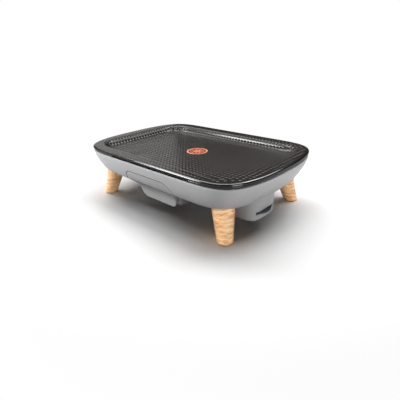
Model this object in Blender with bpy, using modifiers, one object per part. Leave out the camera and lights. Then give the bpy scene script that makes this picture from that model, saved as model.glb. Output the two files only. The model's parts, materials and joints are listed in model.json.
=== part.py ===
"""Electric plancha: a dimpled griddle plate on a moulded base that stands on four wooden legs.

Metres, +Z up. The origin lies on the floor under the middle of the plate. +X points to the end
with the thermostat dial, and -Y to the side with the juice tray.
"""
from math import cos, pi, radians, sin, tan

import bmesh
import bpy
import numpy as np
from mathutils import Matrix, Vector

OBJECT_NAME = "electric_plancha"

# Fits that all pieces share
SEAT_GAP = 0.0003
RUNNING_GAP = 0.0005
OVERRUN = 0.006
WELD_DISTANCE = 0.00001
CREASE_ANGLE = radians(35)
CHAMFER_SHARE = 0.3

# Outline that plate, ring and shell share: near-straight long sides and bowed short ends
OUTLINE_COUNT = 64
END_POWER = 9.31
SIDE_POWER = 2.545

# Griddle plate
PLATE_LENGTH = 0.510
PLATE_WIDTH = 0.3376
PLATE_TOP = 0.1343
PLATE_SHEET = 0.003
PLATE_ROLL_RADIUS = 0.004
PLATE_SKIRT_LAND = 0.0003
RIM_END_WIDTH = 0.034
RIM_SIDE_WIDTH = 0.0278
WELL_DEPTH = 0.015
WELL_WALL_RUN = 0.010
WELL_POWER = 8.0
WELL_EDGE_LAND = 0.004
WELL_EDGE_RUN = 0.0027
WELL_EDGE_DROP = 0.0032
DRAIN_DIAMETER = 0.009
DRAIN_BESIDE_BIN = 0.025
DRAIN_SETBACK = 0.009
SPOUT_WALL = 0.002
SPOUT_LENGTH = 0.0075

# Plate support ring
RING_SHELL_INSET = 0.001
RING_FOOT_DEPTH = 0.0016
RING_FOOT_HEIGHT = 0.0027
RING_BEAD_HEIGHT = 0.0025
RING_NECK_DEPTH = 0.0009
RING_SHOULDER = 0.0026
RING_LIP = 0.002
RING_LIP_HEIGHT = 0.0011
RING_FLANGE_WIDTH = 0.0104
RING_FLANGE_THICKNESS = 0.0018
NOTCH_START_SETBACK = 0.1427
NOTCH_END_SETBACK = 0.112
NOTCH_LAND = 0.0009
NOTCH_SLANT = 0.004

# Base shell
RIM_GAP = 0.0072
SHELL_HEIGHT = 0.0504
SHELL_END_TAPER = 0.0239
SHELL_SIDE_TAPER = 0.0189
SHELL_CURVE_POWER = 1.29
SHELL_CURVE_STEPS = 7
SHELL_LIP = 0.0015
SHELL_WALL = 0.003

# Service opening in the shell's flat bottom, and the cover that closes it
OPENING_SIDE_MARGIN = 0.0848
OPENING_POWER = 8.0
OPENING_LEG_MARGIN = 0.032
COVER_OVERLAP = 0.010
COVER_THICKNESS = 0.003
COVER_HOUSING_CLEARANCE = 0.008
SCREW_RUNNER_CLEARANCE = 0.003
SCREW_SHANK_DIAMETER = 0.0032
SCREW_HEAD_DIAMETER = 0.0068
SCREW_HEAD_HEIGHT = 0.0018
SCREW_LENGTH = 0.010
SCREW_HOLE_CLEARANCE = 0.0004
BOSS_WALL = 0.0022
BOSS_CAP = 0.0015

# Reflector tray and the posts that carry it
REFLECTOR_END_MARGIN = 0.060
REFLECTOR_SIDE_MARGIN = 0.0608
REFLECTOR_POWER = 8.0
REFLECTOR_DEPTH = 0.0133
REFLECTOR_EDGE_HEIGHT = 0.007
REFLECTOR_CORNER = 0.008
REFLECTOR_SHEET = 0.0008
REFLECTOR_COUNT = 40
POST_END_MARGIN = 0.070
POST_SIDE_MARGIN = 0.010
POST_DIAMETER = 0.010

# Heating element
ELEMENT_DIAMETER = 0.0066
ELEMENT_ROWS = 4
ELEMENT_SIDE_MARGIN = 0.033
ELEMENT_TURN_MARGIN = 0.070
ELEMENT_END_MARGIN = 0.030
ELEMENT_END_DROP = 0.0274
ELEMENT_BEND_RADIUS = 0.006
TURN_STEPS = 8
BEND_STEPS = 4
SADDLE_LENGTH = 0.008
SADDLE_WIDTH = 0.014
SADDLE_FROM_TURN = 0.045
INSULATOR_WALL = 0.0024
INSULATOR_FLANGE = 0.0025
INSULATOR_FLANGE_HEIGHT = 0.002
INSULATOR_DEPTH = 0.007

# Sensor that the plate presses down
SENSOR_END_MARGIN = 0.023
SENSOR_Y = -0.030
SENSOR_DIAMETER = 0.0102
SENSOR_HEIGHT = 0.0147
SENSOR_GUIDE_WALL = 0.0023
SENSOR_GUIDE_FLANGE = 0.0023
SENSOR_GUIDE_FLANGE_HEIGHT = 0.0012
SENSOR_GUIDE_DEPTH = 0.0158
SENSOR_GUIDE_FLOOR = 0.0015
SPRING_WIRE = 0.0009
SPRING_TURNS = 4
SPRING_POINTS_PER_TURN = 8
SENSOR_LEAD_DIAMETER = 0.002

# Control housing, dial and thermostat
HOUSING_END_SETBACK = 0.0172
HOUSING_LEG_CLEARANCE = 0.0015
HOUSING_LENGTH_SHARE = 0.43020
HOUSING_WIDTH = 0.092
HOUSING_DEPTH = 0.038
HOUSING_END_POWER = 4.5
HOUSING_SIDE_POWER = 4.0
HOUSING_WALL = 0.0025
HOUSING_ROUND = 0.003
HOUSING_DRAFT = 0.0012
HOUSING_COUNT = 48
DIAL_OFFSET = 0.003
DIAL_SIDE_MARGIN = 0.012
DIAL_PROUD = 0.0067
DIAL_LIFT = 0.0133
DIAL_THICKNESS = 0.0053
DIAL_TEETH = 40
DIAL_TOOTH_DEPTH = 0.0008
DIAL_SLOT_MARGIN = 0.005
SHAFT_DIAMETER = 0.006
SHAFT_COLLAR = 0.002
SHAFT_COLLAR_HEIGHT = 0.0014
BRACKET_WIDTH = 0.016
BRACKET_THICKNESS = 0.0018
BRACKET_LIFT = 0.004
BRACKET_OVERLAP = 0.002
THERMOSTAT_LENGTH = 0.026
THERMOSTAT_WIDTH = 0.032
THERMOSTAT_HEIGHT = 0.020
THERMOSTAT_EDGE = 0.0015
HATCH_MARGIN = 0.005
HATCH_OUTER_MARGIN = 0.002

# Appliance inlet
INLET_OFFSET = 0.02095
INLET_LIFT = 0.0196
INLET_LENGTH = 0.024
INLET_HEIGHT = 0.020
INLET_DEPTH = 0.0203
INLET_WALL = 0.002
INLET_BACK = 0.004
INLET_FLANGE = 0.003
INLET_FLANGE_THICKNESS = 0.002
PIN_PITCH = 0.007
PIN_WIDTH = 0.004
PIN_THICKNESS = 0.002
PIN_REACH = 0.013
PIN_TAB = 0.006

# Juice tray front
FRONT_TOP_LIFT = 0.0276
FRONT_TOP_INSET = 0.003
FRONT_LOW_DROP = 0.0009
FRONT_LOW_OUTSET = 0.013
FRONT_CORNER_RADIUS = 0.024
FRONT_SEAM = 0.0013
FRONT_LIP_DEPTH = 0.011
GRIP_DEPTH = 0.0454
GRIP_BACK_SETBACK = 0.0459
GRIP_CORNER_RADIUS = 0.010
GRIP_CORNER_SHARE = 0.45
GRIP_LIP_SHARE = 0.3

# Juice tray bin
BIN_HALF_SHARE = 0.27059
BIN_DEPTH = 0.047
BIN_TOP_LIFT = 0.0066
BIN_LENGTH = 0.0946
BIN_WALL = 0.0022
BIN_CORNER = 0.008
BIN_FOOT_ROUND = 0.004
BIN_FLANGE = 0.0055
BIN_SLOT_CLEARANCE = 0.0015

# Runners
RUNNER_CLEARANCE = 0.002
RUNNER_LIP = 0.0026
RUNNER_SIDE_GAP = 0.002
RUNNER_WEB = 0.0025
RUNNER_FOOT = 0.009
RUNNER_FOOT_THICKNESS = 0.0025
RUNNER_FRONT_SETBACK = 0.0348
RUNNER_REAR_SETBACK = 0.002

# Juice chute
CHUTE_LENGTH = 0.058
CHUTE_WIDTH = 0.022
CHUTE_HEIGHT = 0.012
CHUTE_WALL = 0.002
CHUTE_FROM_DRAIN = 0.016
CHUTE_LIFT = 0.0251
CHUTE_SLOPE = 0.17
CHUTE_POST = 0.008

# Legs
LEG_TOP_END_SETBACK = 0.073
LEG_TOP_SIDE_SETBACK = 0.0548
LEG_FOOT_END_SETBACK = 0.054
LEG_FOOT_SIDE_SETBACK = 0.0383
LEG_TOP_RADIUS = 0.0245
LEG_FOOT_RADIUS = 0.0165
LEG_FOOT_ROUND = 0.0022
LEG_FOOT_GAP = 0.0006
LEG_COUNT = 28
STUD_DIAMETER = 0.008
STUD_BELOW_SHELL = 0.0224
STUD_ABOVE_SHELL = 0.0156
STUD_HOLE_CLEARANCE = 0.0003
STUD_BOSS_DIAMETER = 0.018
STUD_BOSS_HEIGHT = 0.0045
NUT_ACROSS = 0.013
NUT_HEIGHT = 0.0065
PAD_DIAMETER = 0.022
PAD_THICKNESS = 0.0015

# Places worked out from the sizes above
HALF_LENGTH = PLATE_LENGTH / 2
HALF_WIDTH = PLATE_WIDTH / 2
PLATE_SKIRT_BOTTOM = PLATE_TOP - PLATE_ROLL_RADIUS - PLATE_SKIRT_LAND
WELL_LENGTH = PLATE_LENGTH - 2 * RIM_END_WIDTH
WELL_WIDTH = PLATE_WIDTH - 2 * RIM_SIDE_WIDTH
WELL_FLOOR = PLATE_TOP - WELL_DEPTH
PLATE_UNDERSIDE = WELL_FLOOR - PLATE_SHEET
SHELL_TOP = PLATE_SKIRT_BOTTOM - RIM_GAP
SHELL_BOTTOM = SHELL_TOP - SHELL_HEIGHT
SHELL_FLOOR = SHELL_BOTTOM + SHELL_WALL
RING_BOTTOM = SHELL_TOP + SEAT_GAP
RING_TOP = PLATE_SKIRT_BOTTOM - SEAT_GAP
NOTCH_START = NOTCH_START_SETBACK - HALF_LENGTH
NOTCH_END = HALF_LENGTH - NOTCH_END_SETBACK
LEG_TOP_X = HALF_LENGTH - LEG_TOP_END_SETBACK
LEG_TOP_Y = HALF_WIDTH - LEG_TOP_SIDE_SETBACK
LEG_FOOT_X = HALF_LENGTH - LEG_FOOT_END_SETBACK
LEG_FOOT_Y = HALF_WIDTH - LEG_FOOT_SIDE_SETBACK
STUD_BOTTOM = SHELL_BOTTOM - STUD_BELOW_SHELL
STUD_TOP = SHELL_BOTTOM + STUD_ABOVE_SHELL

# Juice tray, its runners and the drain above it
BIN_HALF = HALF_LENGTH * BIN_HALF_SHARE
FRONT_TOP_HALF = BIN_HALF - FRONT_TOP_INSET
FRONT_LOW_HALF = BIN_HALF + FRONT_LOW_OUTSET
FRONT_TOP = SHELL_BOTTOM + FRONT_TOP_LIFT
FRONT_LOW = SHELL_BOTTOM - FRONT_LOW_DROP
GRIP_BOTTOM = SHELL_BOTTOM - GRIP_DEPTH
GRIP_BACK = GRIP_BACK_SETBACK - HALF_WIDTH
BIN_FRONT = GRIP_BACK + SEAT_GAP
BIN_REAR = BIN_FRONT + BIN_LENGTH
BIN_TOP = SHELL_FLOOR + BIN_TOP_LIFT
BIN_BOTTOM = BIN_TOP - BIN_DEPTH
BIN_FLANGE_BOTTOM = BIN_TOP - BIN_WALL
RUNNER_INNER = BIN_HALF + RUNNER_CLEARANCE
RUNNER_CHANNEL = BIN_HALF + BIN_FLANGE + RUNNER_SIDE_GAP
RUNNER_BOTTOM = SHELL_FLOOR + SEAT_GAP
RUNNER_OUTER = RUNNER_CHANNEL + RUNNER_WEB + RUNNER_FOOT
RUNNER_FRONT = RUNNER_FRONT_SETBACK - HALF_WIDTH
RUNNER_REAR = BIN_REAR - RUNNER_REAR_SETBACK
DRAIN_X = -BIN_HALF - DRAIN_BESIDE_BIN
DRAIN_Y = DRAIN_SETBACK + WELL_WALL_RUN - WELL_WIDTH / 2
CHUTE_CENTRE_X = DRAIN_X + CHUTE_FROM_DRAIN
CHUTE_CENTRE_Z = SHELL_BOTTOM + CHUTE_LIFT

# Control housing, with what is in it
HOUSING_LENGTH = HALF_LENGTH * HOUSING_LENGTH_SHARE
HOUSING_CENTRE_X = HALF_LENGTH - HOUSING_END_SETBACK - HOUSING_LENGTH / 2
HOUSING_CENTRE_Y = LEG_TOP_RADIUS - LEG_TOP_Y + HOUSING_LEG_CLEARANCE + HOUSING_WIDTH / 2
HOUSING_BOTTOM = SHELL_BOTTOM - HOUSING_DEPTH
HOUSING_FLOOR = HOUSING_BOTTOM + HOUSING_WALL
DIAL_RADIUS = HOUSING_WIDTH / 2 - DIAL_SIDE_MARGIN
DIAL_SLOT_WIDTH = 2 * (DIAL_RADIUS - DIAL_SLOT_MARGIN)
DIAL_BOTTOM = HOUSING_BOTTOM + DIAL_LIFT
DIAL_X = HOUSING_CENTRE_X + HOUSING_LENGTH / 2 + DIAL_PROUD - DIAL_RADIUS
DIAL_Y = HOUSING_CENTRE_Y - DIAL_OFFSET
BRACKET_BOTTOM = DIAL_BOTTOM + DIAL_THICKNESS + BRACKET_LIFT
BRACKET_TOP = BRACKET_BOTTOM + BRACKET_THICKNESS
THERMOSTAT_BOTTOM = BRACKET_TOP + SEAT_GAP
THERMOSTAT_TOP = THERMOSTAT_BOTTOM + THERMOSTAT_HEIGHT
INLET_X = HOUSING_CENTRE_X - INLET_OFFSET
INLET_Z = HOUSING_BOTTOM + INLET_LIFT

# Service opening, cover and screws
COVER_TOP = SHELL_BOTTOM - SEAT_GAP
COVER_BOTTOM = COVER_TOP - COVER_THICKNESS
COVER_RIGHT = HOUSING_CENTRE_X - HOUSING_LENGTH / 2 - COVER_HOUSING_CLEARANCE
OPENING_RIGHT = COVER_RIGHT - COVER_OVERLAP
OPENING_LEFT = OPENING_LEG_MARGIN - LEG_TOP_X
OPENING_CENTRE_X = (OPENING_LEFT + OPENING_RIGHT) / 2
OPENING_LENGTH = OPENING_RIGHT - OPENING_LEFT
OPENING_WIDTH = PLATE_WIDTH - 2 * OPENING_SIDE_MARGIN
SCREW_HOLE_RADIUS = SCREW_SHANK_DIAMETER / 2 + SCREW_HOLE_CLEARANCE
SCREW_X = RUNNER_OUTER + SCREW_HOLE_RADIUS + BOSS_WALL + SCREW_RUNNER_CLEARANCE

# Reflector, element and sensor
REFLECTOR_LENGTH = PLATE_LENGTH - 2 * REFLECTOR_END_MARGIN
REFLECTOR_WIDTH = PLATE_WIDTH - 2 * REFLECTOR_SIDE_MARGIN
REFLECTOR_FLOOR = PLATE_UNDERSIDE - REFLECTOR_DEPTH
REFLECTOR_TOP = REFLECTOR_FLOOR + REFLECTOR_SHEET
POST_X = REFLECTOR_LENGTH / 2 - POST_END_MARGIN
POST_Y = REFLECTOR_WIDTH / 2 - POST_SIDE_MARGIN
ELEMENT_RADIUS = ELEMENT_DIAMETER / 2
ELEMENT_Z = PLATE_UNDERSIDE - SEAT_GAP - ELEMENT_RADIUS
ELEMENT_PITCH = (REFLECTOR_WIDTH - 2 * ELEMENT_SIDE_MARGIN) / (ELEMENT_ROWS - 1)
ELEMENT_TURN_X = REFLECTOR_LENGTH / 2 - ELEMENT_TURN_MARGIN
ELEMENT_END_X = REFLECTOR_LENGTH / 2 - ELEMENT_END_MARGIN
SADDLE_X = ELEMENT_TURN_X - SADDLE_FROM_TURN
SENSOR_X = REFLECTOR_LENGTH / 2 - SENSOR_END_MARGIN
SENSOR_TOP = PLATE_UNDERSIDE - SEAT_GAP
SENSOR_BOTTOM = SENSOR_TOP - SENSOR_HEIGHT
GUIDE_BOTTOM = REFLECTOR_TOP + SEAT_GAP - SENSOR_GUIDE_DEPTH

MATERIALS = {
    "nonstick_black": ((0.035, 0.034, 0.032), 0.32, 0.35),
    "bezel_black": ((0.010, 0.010, 0.011), 0.22, 0.0),
    "shell_grey": ((0.335, 0.335, 0.345), 0.42, 0.0),
    "dark_plastic": ((0.020, 0.020, 0.022), 0.50, 0.0),
    "aluminised_sheet": ((0.62, 0.63, 0.64), 0.38, 0.9),
    "element_steel": ((0.20, 0.19, 0.18), 0.45, 0.8),
    "bright_steel": ((0.60, 0.60, 0.61), 0.28, 1.0),
    "brass_pin": ((0.71, 0.53, 0.25), 0.30, 1.0),
    "ceramic_white": ((0.80, 0.78, 0.73), 0.55, 0.0),
    "beech": ((0.71, 0.43, 0.19), 0.35, 0.0),
    "pad_rubber": ((0.030, 0.030, 0.030), 0.85, 0.0),
}


def new_collection(name):
    """Make an empty collection in the scene."""
    found = bpy.data.collections.new(name)
    bpy.context.scene.collection.children.link(found)
    return found


def clear_scene():
    """Remove the objects that are there at the start."""
    for item in list(bpy.data.objects):
        bpy.data.objects.remove(item, do_unlink=True)


clear_scene()
PARTS = new_collection(OBJECT_NAME)
CUTTERS = new_collection(OBJECT_NAME + "_cutters")


def material(name):
    """Return the named finish, made on first use."""
    found = bpy.data.materials.get(name)
    if found:
        return found
    colour, roughness, metallic = MATERIALS[name]
    found = bpy.data.materials.new(name)
    found.use_nodes = True
    shader = found.node_tree.nodes["Principled BSDF"]
    shader.inputs["Base Color"].default_value = (*colour, 1.0)
    shader.inputs["Roughness"].default_value = roughness
    shader.inputs["Metallic"].default_value = metallic
    return found


def place(item, finish):
    """Put an object with the parts and give it its finish, or with the cutters if it has none."""
    if finish is None:
        CUTTERS.objects.link(item)
        item.hide_render = True
        item.display_type = "WIRE"
    else:
        PARTS.objects.link(item)
        item.data.materials.append(material(finish))
        item.data.shade_smooth()
        item.data.set_sharp_from_angle(angle=CREASE_ANGLE)
    return item


def mesh_object(name, bm, finish, matrix=None):
    """Turn a bmesh into an object, moved by the matrix within its mesh."""
    if matrix is not None:
        bmesh.ops.transform(bm, matrix=matrix, verts=bm.verts)
    mesh = bpy.data.meshes.new(name)
    bm.to_mesh(mesh)
    bm.free()
    return place(bpy.data.objects.new(name, mesh), finish)


def box(name, low, high, finish=None, matrix=None):
    """Make a box between two corners from a cube primitive."""
    bm = bmesh.new()
    bmesh.ops.create_cube(bm, size=1.0)
    low = Vector(low)
    high = Vector(high)
    bmesh.ops.scale(bm, vec=high - low, verts=bm.verts)
    bmesh.ops.translate(bm, vec=(low + high) / 2, verts=bm.verts)
    return mesh_object(name, bm, finish, matrix)


def cylinder(name, centre, radius, bottom, top, finish=None, count=24):
    """Make an upright cylinder at (x, y) between two heights."""
    bm = bmesh.new()
    bmesh.ops.create_cone(bm, cap_ends=True, segments=count, radius1=radius, radius2=radius,
                          depth=top - bottom)
    bmesh.ops.translate(bm, vec=(centre[0], centre[1], (top + bottom) / 2), verts=bm.verts)
    return mesh_object(name, bm, finish)


def turned(name, profile, centre, finish, count=24):
    """Turn a profile of (radius, height) points about an upright axis with a Screw modifier.

    The profile runs down its outer side. It is a closed loop where it leaves a bore, and open
    where both of its ends lie on the axis.
    """
    mesh = bpy.data.meshes.new(name)
    points = [(radius, 0.0, height) for radius, height in profile]
    on_axis = profile[0][0] == 0.0 and profile[-1][0] == 0.0
    edges = [(i, i + 1) for i in range(len(points) - 1)]
    if not on_axis:
        edges.append((len(points) - 1, 0))
    mesh.from_pydata(points, edges, [])
    item = bpy.data.objects.new(name, mesh)
    item.location = (centre[0], centre[1], 0.0)
    screw = item.modifiers.new("turn", "SCREW")
    screw.steps = count
    screw.render_steps = count
    screw.use_merge_vertices = True
    screw.merge_threshold = WELD_DISTANCE
    screw.use_smooth_shade = True
    return place(item, finish)


def superellipse(half_x, half_y, power_x, power_y, count, centre=(0.0, 0.0)):
    """Points with |x/a|**p + |y/b|**q = 1, anticlockwise from +X."""
    turn = np.linspace(0.0, 2 * pi, count, endpoint=False)
    across, along = np.cos(turn), np.sin(turn)
    across[np.abs(across) < WELD_DISTANCE] = 0.0
    along[np.abs(along) < WELD_DISTANCE] = 0.0
    x = centre[0] + half_x * np.sign(across) * np.abs(across) ** (2 / power_x)
    y = centre[1] + half_y * np.sign(along) * np.abs(along) ** (2 / power_y)
    return np.stack([x, y], axis=1)


def body_outline(inset_x, inset_y=None):
    """The outline that plate, ring and shell share, drawn in from the plate's edge."""
    inset_y = inset_x if inset_y is None else inset_y
    return superellipse(HALF_LENGTH - inset_x, HALF_WIDTH - inset_y, END_POWER, SIDE_POWER,
                        OUTLINE_COUNT)


def origin_at(item, point):
    """Put an object's origin on a point and leave its shape where it is."""
    item.data.transform(Matrix.Translation(-Vector(point)))
    item.location = point
    return item


def loft(name, rings, finish, cap_first=True, cap_last=True, loop=False):
    """Skin a row of (outline, height) rings.

    The rings are anticlockwise and run up the outer side, so the faces point out. With loop the
    last ring joins the first, as in a hollow ring.
    """
    bm = bmesh.new()
    rows = [[bm.verts.new((x, y, height)) for x, y in outline] for outline, height in rings]
    count = len(rows[0])
    pairs = list(zip(rows, rows[1:]))
    if loop:
        pairs.append((rows[-1], rows[0]))
    for lower, upper in pairs:
        for i in range(count):
            j = (i + 1) % count
            bm.faces.new((lower[i], lower[j], upper[j], upper[i]))
    if cap_first and not loop:
        bm.faces.new(list(reversed(rows[0])))
    if cap_last and not loop:
        bm.faces.new(rows[-1])
    bm.normal_update()
    return mesh_object(name, bm, finish)


def thicken(item, thickness):
    """Give an open surface its wall, on the side away from its normals."""
    wall = item.modifiers.new("wall", "SOLIDIFY")
    wall.thickness = thickness
    wall.offset = -1.0
    wall.use_even_offset = True
    return item


def combine(item, other, operation):
    """Join, cut or keep the common part with a Boolean modifier."""
    change = item.modifiers.new(other.name, "BOOLEAN")
    change.operation = operation
    change.object = other
    change.solver = "EXACT"
    return item


def cut(item, *others):
    """Cut the other shapes out of an object."""
    for other in others:
        combine(item, other, "DIFFERENCE")
    return item


def join(item, *others):
    """Fuse the other shapes with an object."""
    for other in others:
        combine(item, other, "UNION")
    return item


def curve_to_mesh(curve_object, finish):
    """Turn a curve into a mesh with welded caps, in world coordinates."""
    bpy.context.scene.collection.objects.link(curve_object)
    depsgraph = bpy.context.evaluated_depsgraph_get()
    mesh = bpy.data.meshes.new_from_object(curve_object.evaluated_get(depsgraph))
    name = curve_object.name
    matrix = curve_object.matrix_world.copy()
    bpy.data.objects.remove(curve_object, do_unlink=True)
    bm = bmesh.new()
    bm.from_mesh(mesh)
    bpy.data.meshes.remove(mesh)
    bmesh.ops.remove_doubles(bm, verts=bm.verts, dist=WELD_DISTANCE)
    bmesh.ops.recalc_face_normals(bm, faces=bm.faces)
    return mesh_object(name, bm, finish, matrix)


def prism(name, outline, thickness, matrix, finish=None):
    """Extrude a flat outline to both sides of its plane, then place it."""
    curve = bpy.data.curves.new(name, "CURVE")
    curve.dimensions = "2D"
    curve.fill_mode = "BOTH"
    curve.extrude = thickness / 2
    spline = curve.splines.new("POLY")
    spline.points.add(len(outline) - 1)
    for point, (x, y) in zip(spline.points, outline):
        point.co = (x, y, 0.0, 1.0)
    spline.use_cyclic_u = True
    item = bpy.data.objects.new(name, curve)
    item.matrix_world = matrix
    return curve_to_mesh(item, finish)


def tube(name, points, radius, finish, resolution=2):
    """Run a round wire along a row of points."""
    curve = bpy.data.curves.new(name, "CURVE")
    curve.dimensions = "3D"
    curve.bevel_depth = radius
    curve.bevel_resolution = resolution
    curve.use_fill_caps = True
    spline = curve.splines.new("POLY")
    spline.points.add(len(points) - 1)
    for point, (x, y, z) in zip(spline.points, points):
        point.co = (x, y, z, 1.0)
    return curve_to_mesh(bpy.data.objects.new(name, curve), finish)


def rounded(corners, radii, steps=5):
    """Round the corners of an anticlockwise or clockwise polygon with arcs."""
    points = []
    total = len(corners)
    for i, (corner, radius) in enumerate(zip(corners, radii)):
        here = Vector(corner)
        before = (Vector(corners[i - 1]) - here).normalized()
        after = (Vector(corners[(i + 1) % total]) - here).normalized()
        if radius == 0.0:
            points.append((here.x, here.y))
            continue
        half_angle = before.angle(after) / 2
        reach = radius / tan(half_angle)
        middle = here + (before + after).normalized() * (radius / sin(half_angle))
        start = (here + before * reach - middle).normalized()
        end = (here + after * reach - middle).normalized()
        for step in range(steps + 1):
            spoke = start.slerp(end, step / steps) * radius
            points.append((middle.x + spoke.x, middle.y + spoke.y))
    return points


def arc(centre, radius, start, end, steps):
    """Points on an arc, angles in radians."""
    return [(centre[0] + radius * cos(a), centre[1] + radius * sin(a))
            for a in np.linspace(start, end, steps + 1)]


# Stands a flat outline up: its x stays x, its y becomes z, and its thickness lies along y
UPRIGHT = Matrix.Rotation(pi / 2, 4, "X")


def make_plate():
    """Griddle plate: rolled edge, wide rim, sloping well wall, flat floor and a drain spout."""
    rings = [(body_outline(0.0), PLATE_SKIRT_BOTTOM)]
    for turn in np.linspace(0.0, pi / 2, 4):
        inset = PLATE_ROLL_RADIUS * (1 - cos(turn))
        rings.append((body_outline(inset), PLATE_TOP - PLATE_ROLL_RADIUS * (1 - sin(turn))))

    def well(draw_in):
        return superellipse(WELL_LENGTH / 2 - draw_in, WELL_WIDTH / 2 - draw_in, WELL_POWER,
                            WELL_POWER, OUTLINE_COUNT)

    rings.append((well(-WELL_EDGE_LAND), PLATE_TOP))
    rings.append((well(WELL_EDGE_RUN), PLATE_TOP - WELL_EDGE_DROP))
    rings.append((well(WELL_WALL_RUN - WELL_EDGE_RUN), WELL_FLOOR + WELL_EDGE_DROP))
    rings.append((well(WELL_WALL_RUN + WELL_EDGE_LAND), WELL_FLOOR))
    plate = thicken(loft("griddle_plate", rings, "nonstick_black", cap_first=False), PLATE_SHEET)
    hole_radius = DRAIN_DIAMETER / 2
    spout = cylinder("spout_outside", (DRAIN_X, DRAIN_Y), hole_radius + SPOUT_WALL,
                     PLATE_UNDERSIDE - SPOUT_LENGTH, WELL_FLOOR - PLATE_SHEET / 2)
    hole = cylinder("drain_hole", (DRAIN_X, DRAIN_Y), hole_radius,
                    PLATE_UNDERSIDE - SPOUT_LENGTH - OVERRUN, WELL_FLOOR + OVERRUN)
    join(plate, spout)
    cut(plate, hole)


def make_ring():
    """Support ring: a bead over a recessed foot, a locating lip and an inner flange."""
    lip_start = RING_SHELL_INSET + RING_SHOULDER
    lip_end = lip_start + RING_LIP
    flange_end = lip_end + RING_FLANGE_WIDTH
    flange_top = RING_BOTTOM + RING_FLANGE_THICKNESS
    foot = RING_SHELL_INSET + RING_FOOT_DEPTH
    foot_top = RING_BOTTOM + RING_FOOT_HEIGHT
    bead_top = foot_top + RING_BEAD_HEIGHT
    neck = RING_SHELL_INSET + RING_NECK_DEPTH
    profile = [
        (foot, RING_BOTTOM),
        (foot, foot_top),
        (RING_SHELL_INSET, foot_top),
        (RING_SHELL_INSET, bead_top),
        (neck, bead_top),
        (neck, RING_TOP),
        (lip_start, RING_TOP),
        (lip_start, RING_TOP + RING_LIP_HEIGHT),
        (lip_end, RING_TOP + RING_LIP_HEIGHT),
        (lip_end, flange_top),
        (flange_end, flange_top),
        (flange_end, RING_BOTTOM),
    ]
    ring = loft("plate_support_ring", [(body_outline(inset), z) for inset, z in profile],
                "bezel_black", loop=True)
    notch_edge = HALF_WIDTH - lip_end - NOTCH_LAND
    notch_depth = HALF_WIDTH + OVERRUN - notch_edge
    notch_middle = notch_edge + notch_depth / 2
    slope = NOTCH_SLANT / (RING_TOP - RING_BOTTOM)
    low = RING_BOTTOM - OVERRUN
    high = RING_TOP + RING_LIP_HEIGHT + OVERRUN
    low_slant = slope * (RING_TOP - low)
    high_slant = slope * (RING_TOP - high)
    outline = [(NOTCH_START + low_slant, low), (NOTCH_END - low_slant, low),
               (NOTCH_END - high_slant, high), (NOTCH_START + high_slant, high)]
    for side, name in ((-1, "front_notch"), (1, "rear_notch")):
        upright = Matrix.Translation((0.0, side * notch_middle, 0.0)) @ Matrix.Rotation(pi / 2, 4, "X")
        cut(ring, prism(name, outline, notch_depth, upright))


def shell_rings(grow=0.0):
    """Rings of the shell's outer side from its flat bottom up to its lip.

    Height and draw-in follow a quarter superellipse. grow moves the whole surface outwards.
    """
    rings = []
    for turn in np.linspace(pi / 2, 0.0, SHELL_CURVE_STEPS + 1):
        drop_share = sin(turn) ** (2 / SHELL_CURVE_POWER)
        taper_share = 1 - abs(cos(turn)) ** (2 / SHELL_CURVE_POWER)
        outline = body_outline(RING_SHELL_INSET + SHELL_END_TAPER * taper_share - grow,
                               RING_SHELL_INSET + SHELL_SIDE_TAPER * taper_share - grow)
        height = SHELL_TOP - SHELL_LIP - (SHELL_HEIGHT - SHELL_LIP) * drop_share
        rings.append((outline, height - grow * drop_share))
    rings.append((rings[-1][0], SHELL_TOP))
    return rings


def opening_outline(grow):
    """Outline of the service opening in the shell's bottom."""
    return superellipse(OPENING_LENGTH / 2 + grow, OPENING_WIDTH / 2 + grow, OPENING_POWER,
                        OPENING_POWER, OUTLINE_COUNT, (OPENING_CENTRE_X, 0.0))


def shell_surface(name, finish):
    """The moulded bowl as an open surface with its wall."""
    rings = [(opening_outline(0.0), SHELL_BOTTOM)] + shell_rings()
    return thicken(loft(name, rings, finish, cap_first=False, cap_last=False), SHELL_WALL)


def shell_envelope():
    """Solid in the shell's outer shape, a seat gap larger, which trims legs and housing."""
    return loft("shell_envelope", shell_rings(SEAT_GAP), None)


def front_outline(grow):
    """Outline of the juice tray's front, in x and z, reaching below the shell."""
    lean = (FRONT_LOW_HALF - FRONT_TOP_HALF) / (FRONT_TOP - FRONT_LOW)
    low = SHELL_BOTTOM - OVERRUN
    low_half = FRONT_LOW_HALF + lean * (FRONT_LOW - low) + grow
    top_half = FRONT_TOP_HALF + grow
    corners = [(-low_half, low), (low_half, low), (top_half, FRONT_TOP + grow),
               (-top_half, FRONT_TOP + grow)]
    radius = FRONT_CORNER_RADIUS + grow
    return rounded(corners, (0.0, 0.0, radius, radius), steps=6)


def front_block(name, grow):
    """Block through the shell's front in the outline of the juice tray's front."""
    near = -HALF_WIDTH - OVERRUN
    far = SHELL_SIDE_TAPER + RING_SHELL_INSET + FRONT_LIP_DEPTH - HALF_WIDTH + grow
    matrix = Matrix.Translation((0.0, (near + far) / 2, 0.0)) @ UPRIGHT
    return prism(name, front_outline(grow), far - near, matrix)


def bin_slot():
    """Block that leaves the bin's way open in the shell's bottom and the cover."""
    half = BIN_HALF + BIN_SLOT_CLEARANCE
    return box("bin_slot", (-half, -HALF_WIDTH, COVER_BOTTOM - OVERRUN),
               (half, BIN_REAR + BIN_SLOT_CLEARANCE, SHELL_FLOOR + OVERRUN / 2))


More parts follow.
